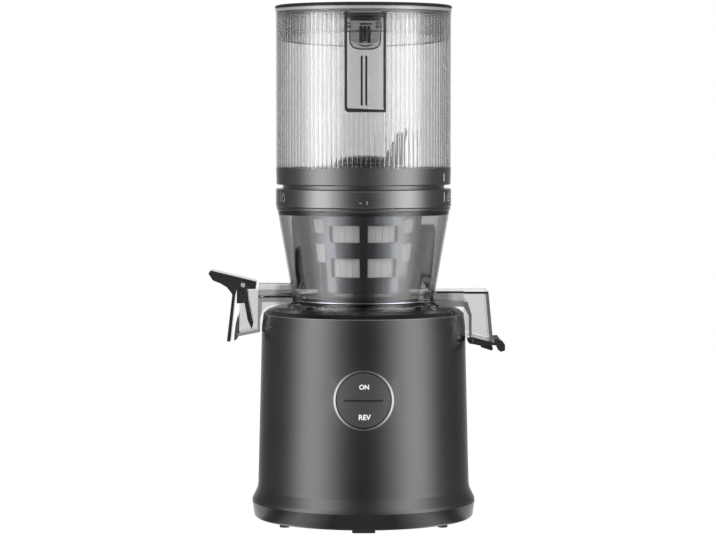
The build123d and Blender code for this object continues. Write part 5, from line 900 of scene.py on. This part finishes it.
def skirt_edge(looks):
    """Dark line along the slanting lower edge of the lid's skirt."""
    start = math.asin((SKIRT_GAP_HALF + LATCH_X) / SKIRT_RADIUS)
    stop = 2 * math.pi - math.asin((SKIRT_GAP_HALF - LATCH_X) / SKIRT_RADIUS)
    path = []
    for i in range(SKIRT_STEPS + 1):
        turn = start + (stop - start) * i / SKIRT_STEPS
        z = SKIRT_LINE_Z - SKIRT_SLOPE * SKIRT_RADIUS * math.cos(turn)
        path.append((turn * SKIRT_RADIUS, z))
    line("skirt_edge", [path], on_tube(SKIRT_RADIUS), looks["dark_gloss"], "lid")


def strainer_mesh(looks):
    """Fine ribbed sleeve in the strainer's wall, seen through its slots."""
    low, high = STRAINER_Z
    foot = STRAINER_RADIUS - (high - low) * STRAINER_SLOPE
    profile = [(foot, low), (STRAINER_RADIUS, high), (STRAINER_RADIUS - STRAINER_WALL, high),
               (foot - STRAINER_WALL, low)]
    lathe("strainer_mesh", profile, STRAINER_RIBS * 2, looks["strainer_grey"], "chamber",
          STRAINER_RIB_DEPTH)


def auger_forms(looks):
    """Domed head of the auger, and the curved web between the head and its horn."""
    profile = [(radius, AUGER_HEAD_Z + rise) for radius, rise in AUGER_DOME]
    lathe("auger_dome", profile, DOME_STEPS, looks["auger_black"], "auger")
    points, faces = plate(HORN_WEB, *HORN_WEB_Y)
    new_piece("auger_horn_web", points, faces, looks["auger_black"], "auger")


def corner_web(looks):
    """Dark web in the wiper's upper left corner, with a light grey line along its edge that is a
    painted highlight.
    """
    points, faces = plate(CORNER_WEB, -CORNER_WEB_HALF, CORNER_WEB_HALF)
    new_piece("wiper_corner_web", points, faces, looks["wiper_black"], "wiper")
    # Light grey line along the web's edge: a painted highlight.
    line("wiper_web_edge_highlight", [CORNER_WEB_EDGE], on_plane(-CORNER_WEB_HALF), looks["mark_grey"],
         "wiper")


def trims(looks):
    """The lid's light flange strip, the dark line of the hopper's upper edge, the gasket under the
    chamber's ring, the bead at the bowl's foot and a lighter line round the housing's shoulder,
    which is a painted highlight on the shoulder's edge."""
    for name, radius, z, finish, body, offsets in TRIMS:
        profile = [(radius + out, z + up) for out, up in offsets]
        lathe(name, profile, TURN_STEPS, looks[finish], body)


def chute_lines(looks):
    """Dark line along the upper front edge of the pulp chute and of the duct to it."""
    for name, front, start, stop in CHUTE_LINES:
        path = straight((start, CHUTE_LINE_Z), (stop, CHUTE_LINE_Z))
        line(name, [path], on_plane(front), looks["dark_gloss"], "chamber")


def pin_caps(looks):
    """Black caps, with a rounded edge, on both ends of the pulp door's pin."""
    count = PIN_CAP_STEPS
    last = count * (len(PIN_CAP_RINGS) - 1)
    for name, side in (("door_pin_cap_front", FRONT), ("door_pin_cap_rear", REAR)):
        points, faces = [], []
        for wider, beyond in PIN_CAP_RINGS:
            radius = DOOR_PIN_RADIUS + wider
            y = side * (DOOR_PIN_END + beyond)
            for i in range(count):
                turn = 2 * math.pi * i / count
                points.append((DOOR_PIN_X + radius * math.sin(turn), y,
                               DOOR_PIN_Z + radius * math.cos(turn)))
        for a in range(0, last, count):
            for i in range(count):
                j = (i + 1) % count
                faces.append((a + i, a + j, a + count + j, a + count + i))
        faces += [tuple(range(count)), tuple(range(last + count - 1, last - 1, -1))]
        new_piece(name, points, faces, looks["wiper_black"], "chamber")


# ---------------------------------------------------------------- main
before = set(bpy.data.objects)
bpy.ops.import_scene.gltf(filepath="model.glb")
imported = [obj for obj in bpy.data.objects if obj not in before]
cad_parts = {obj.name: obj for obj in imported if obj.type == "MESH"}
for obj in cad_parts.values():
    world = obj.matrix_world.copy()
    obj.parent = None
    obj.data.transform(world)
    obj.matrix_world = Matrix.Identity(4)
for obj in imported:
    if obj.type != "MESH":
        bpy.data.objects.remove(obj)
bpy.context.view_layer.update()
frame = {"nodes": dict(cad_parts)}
scene = bpy.context.scene
scene.view_settings.view_transform = "Standard"
set_camera()
set_world()
set_lights()
set_floor()
looks = finishes()
dress(frame, looks)
fluted_tube(frame, looks)
for details in (button_details, marks, latch_bars, latch_cup, window_lines, skirt_edge,
                strainer_mesh, auger_forms, corner_web, trims, chute_lines, pin_caps):
    details(looks)
scene.cycles.use_denoising = True
scene.cycles.max_bounces = 24
scene.cycles.transmission_bounces = 24
scene.cycles.transparent_max_bounces = 24
scene.cycles.glossy_bounces = 8
scene.cycles.diffuse_bounces = 4
scene.cycles.sample_clamp_indirect = 3.0
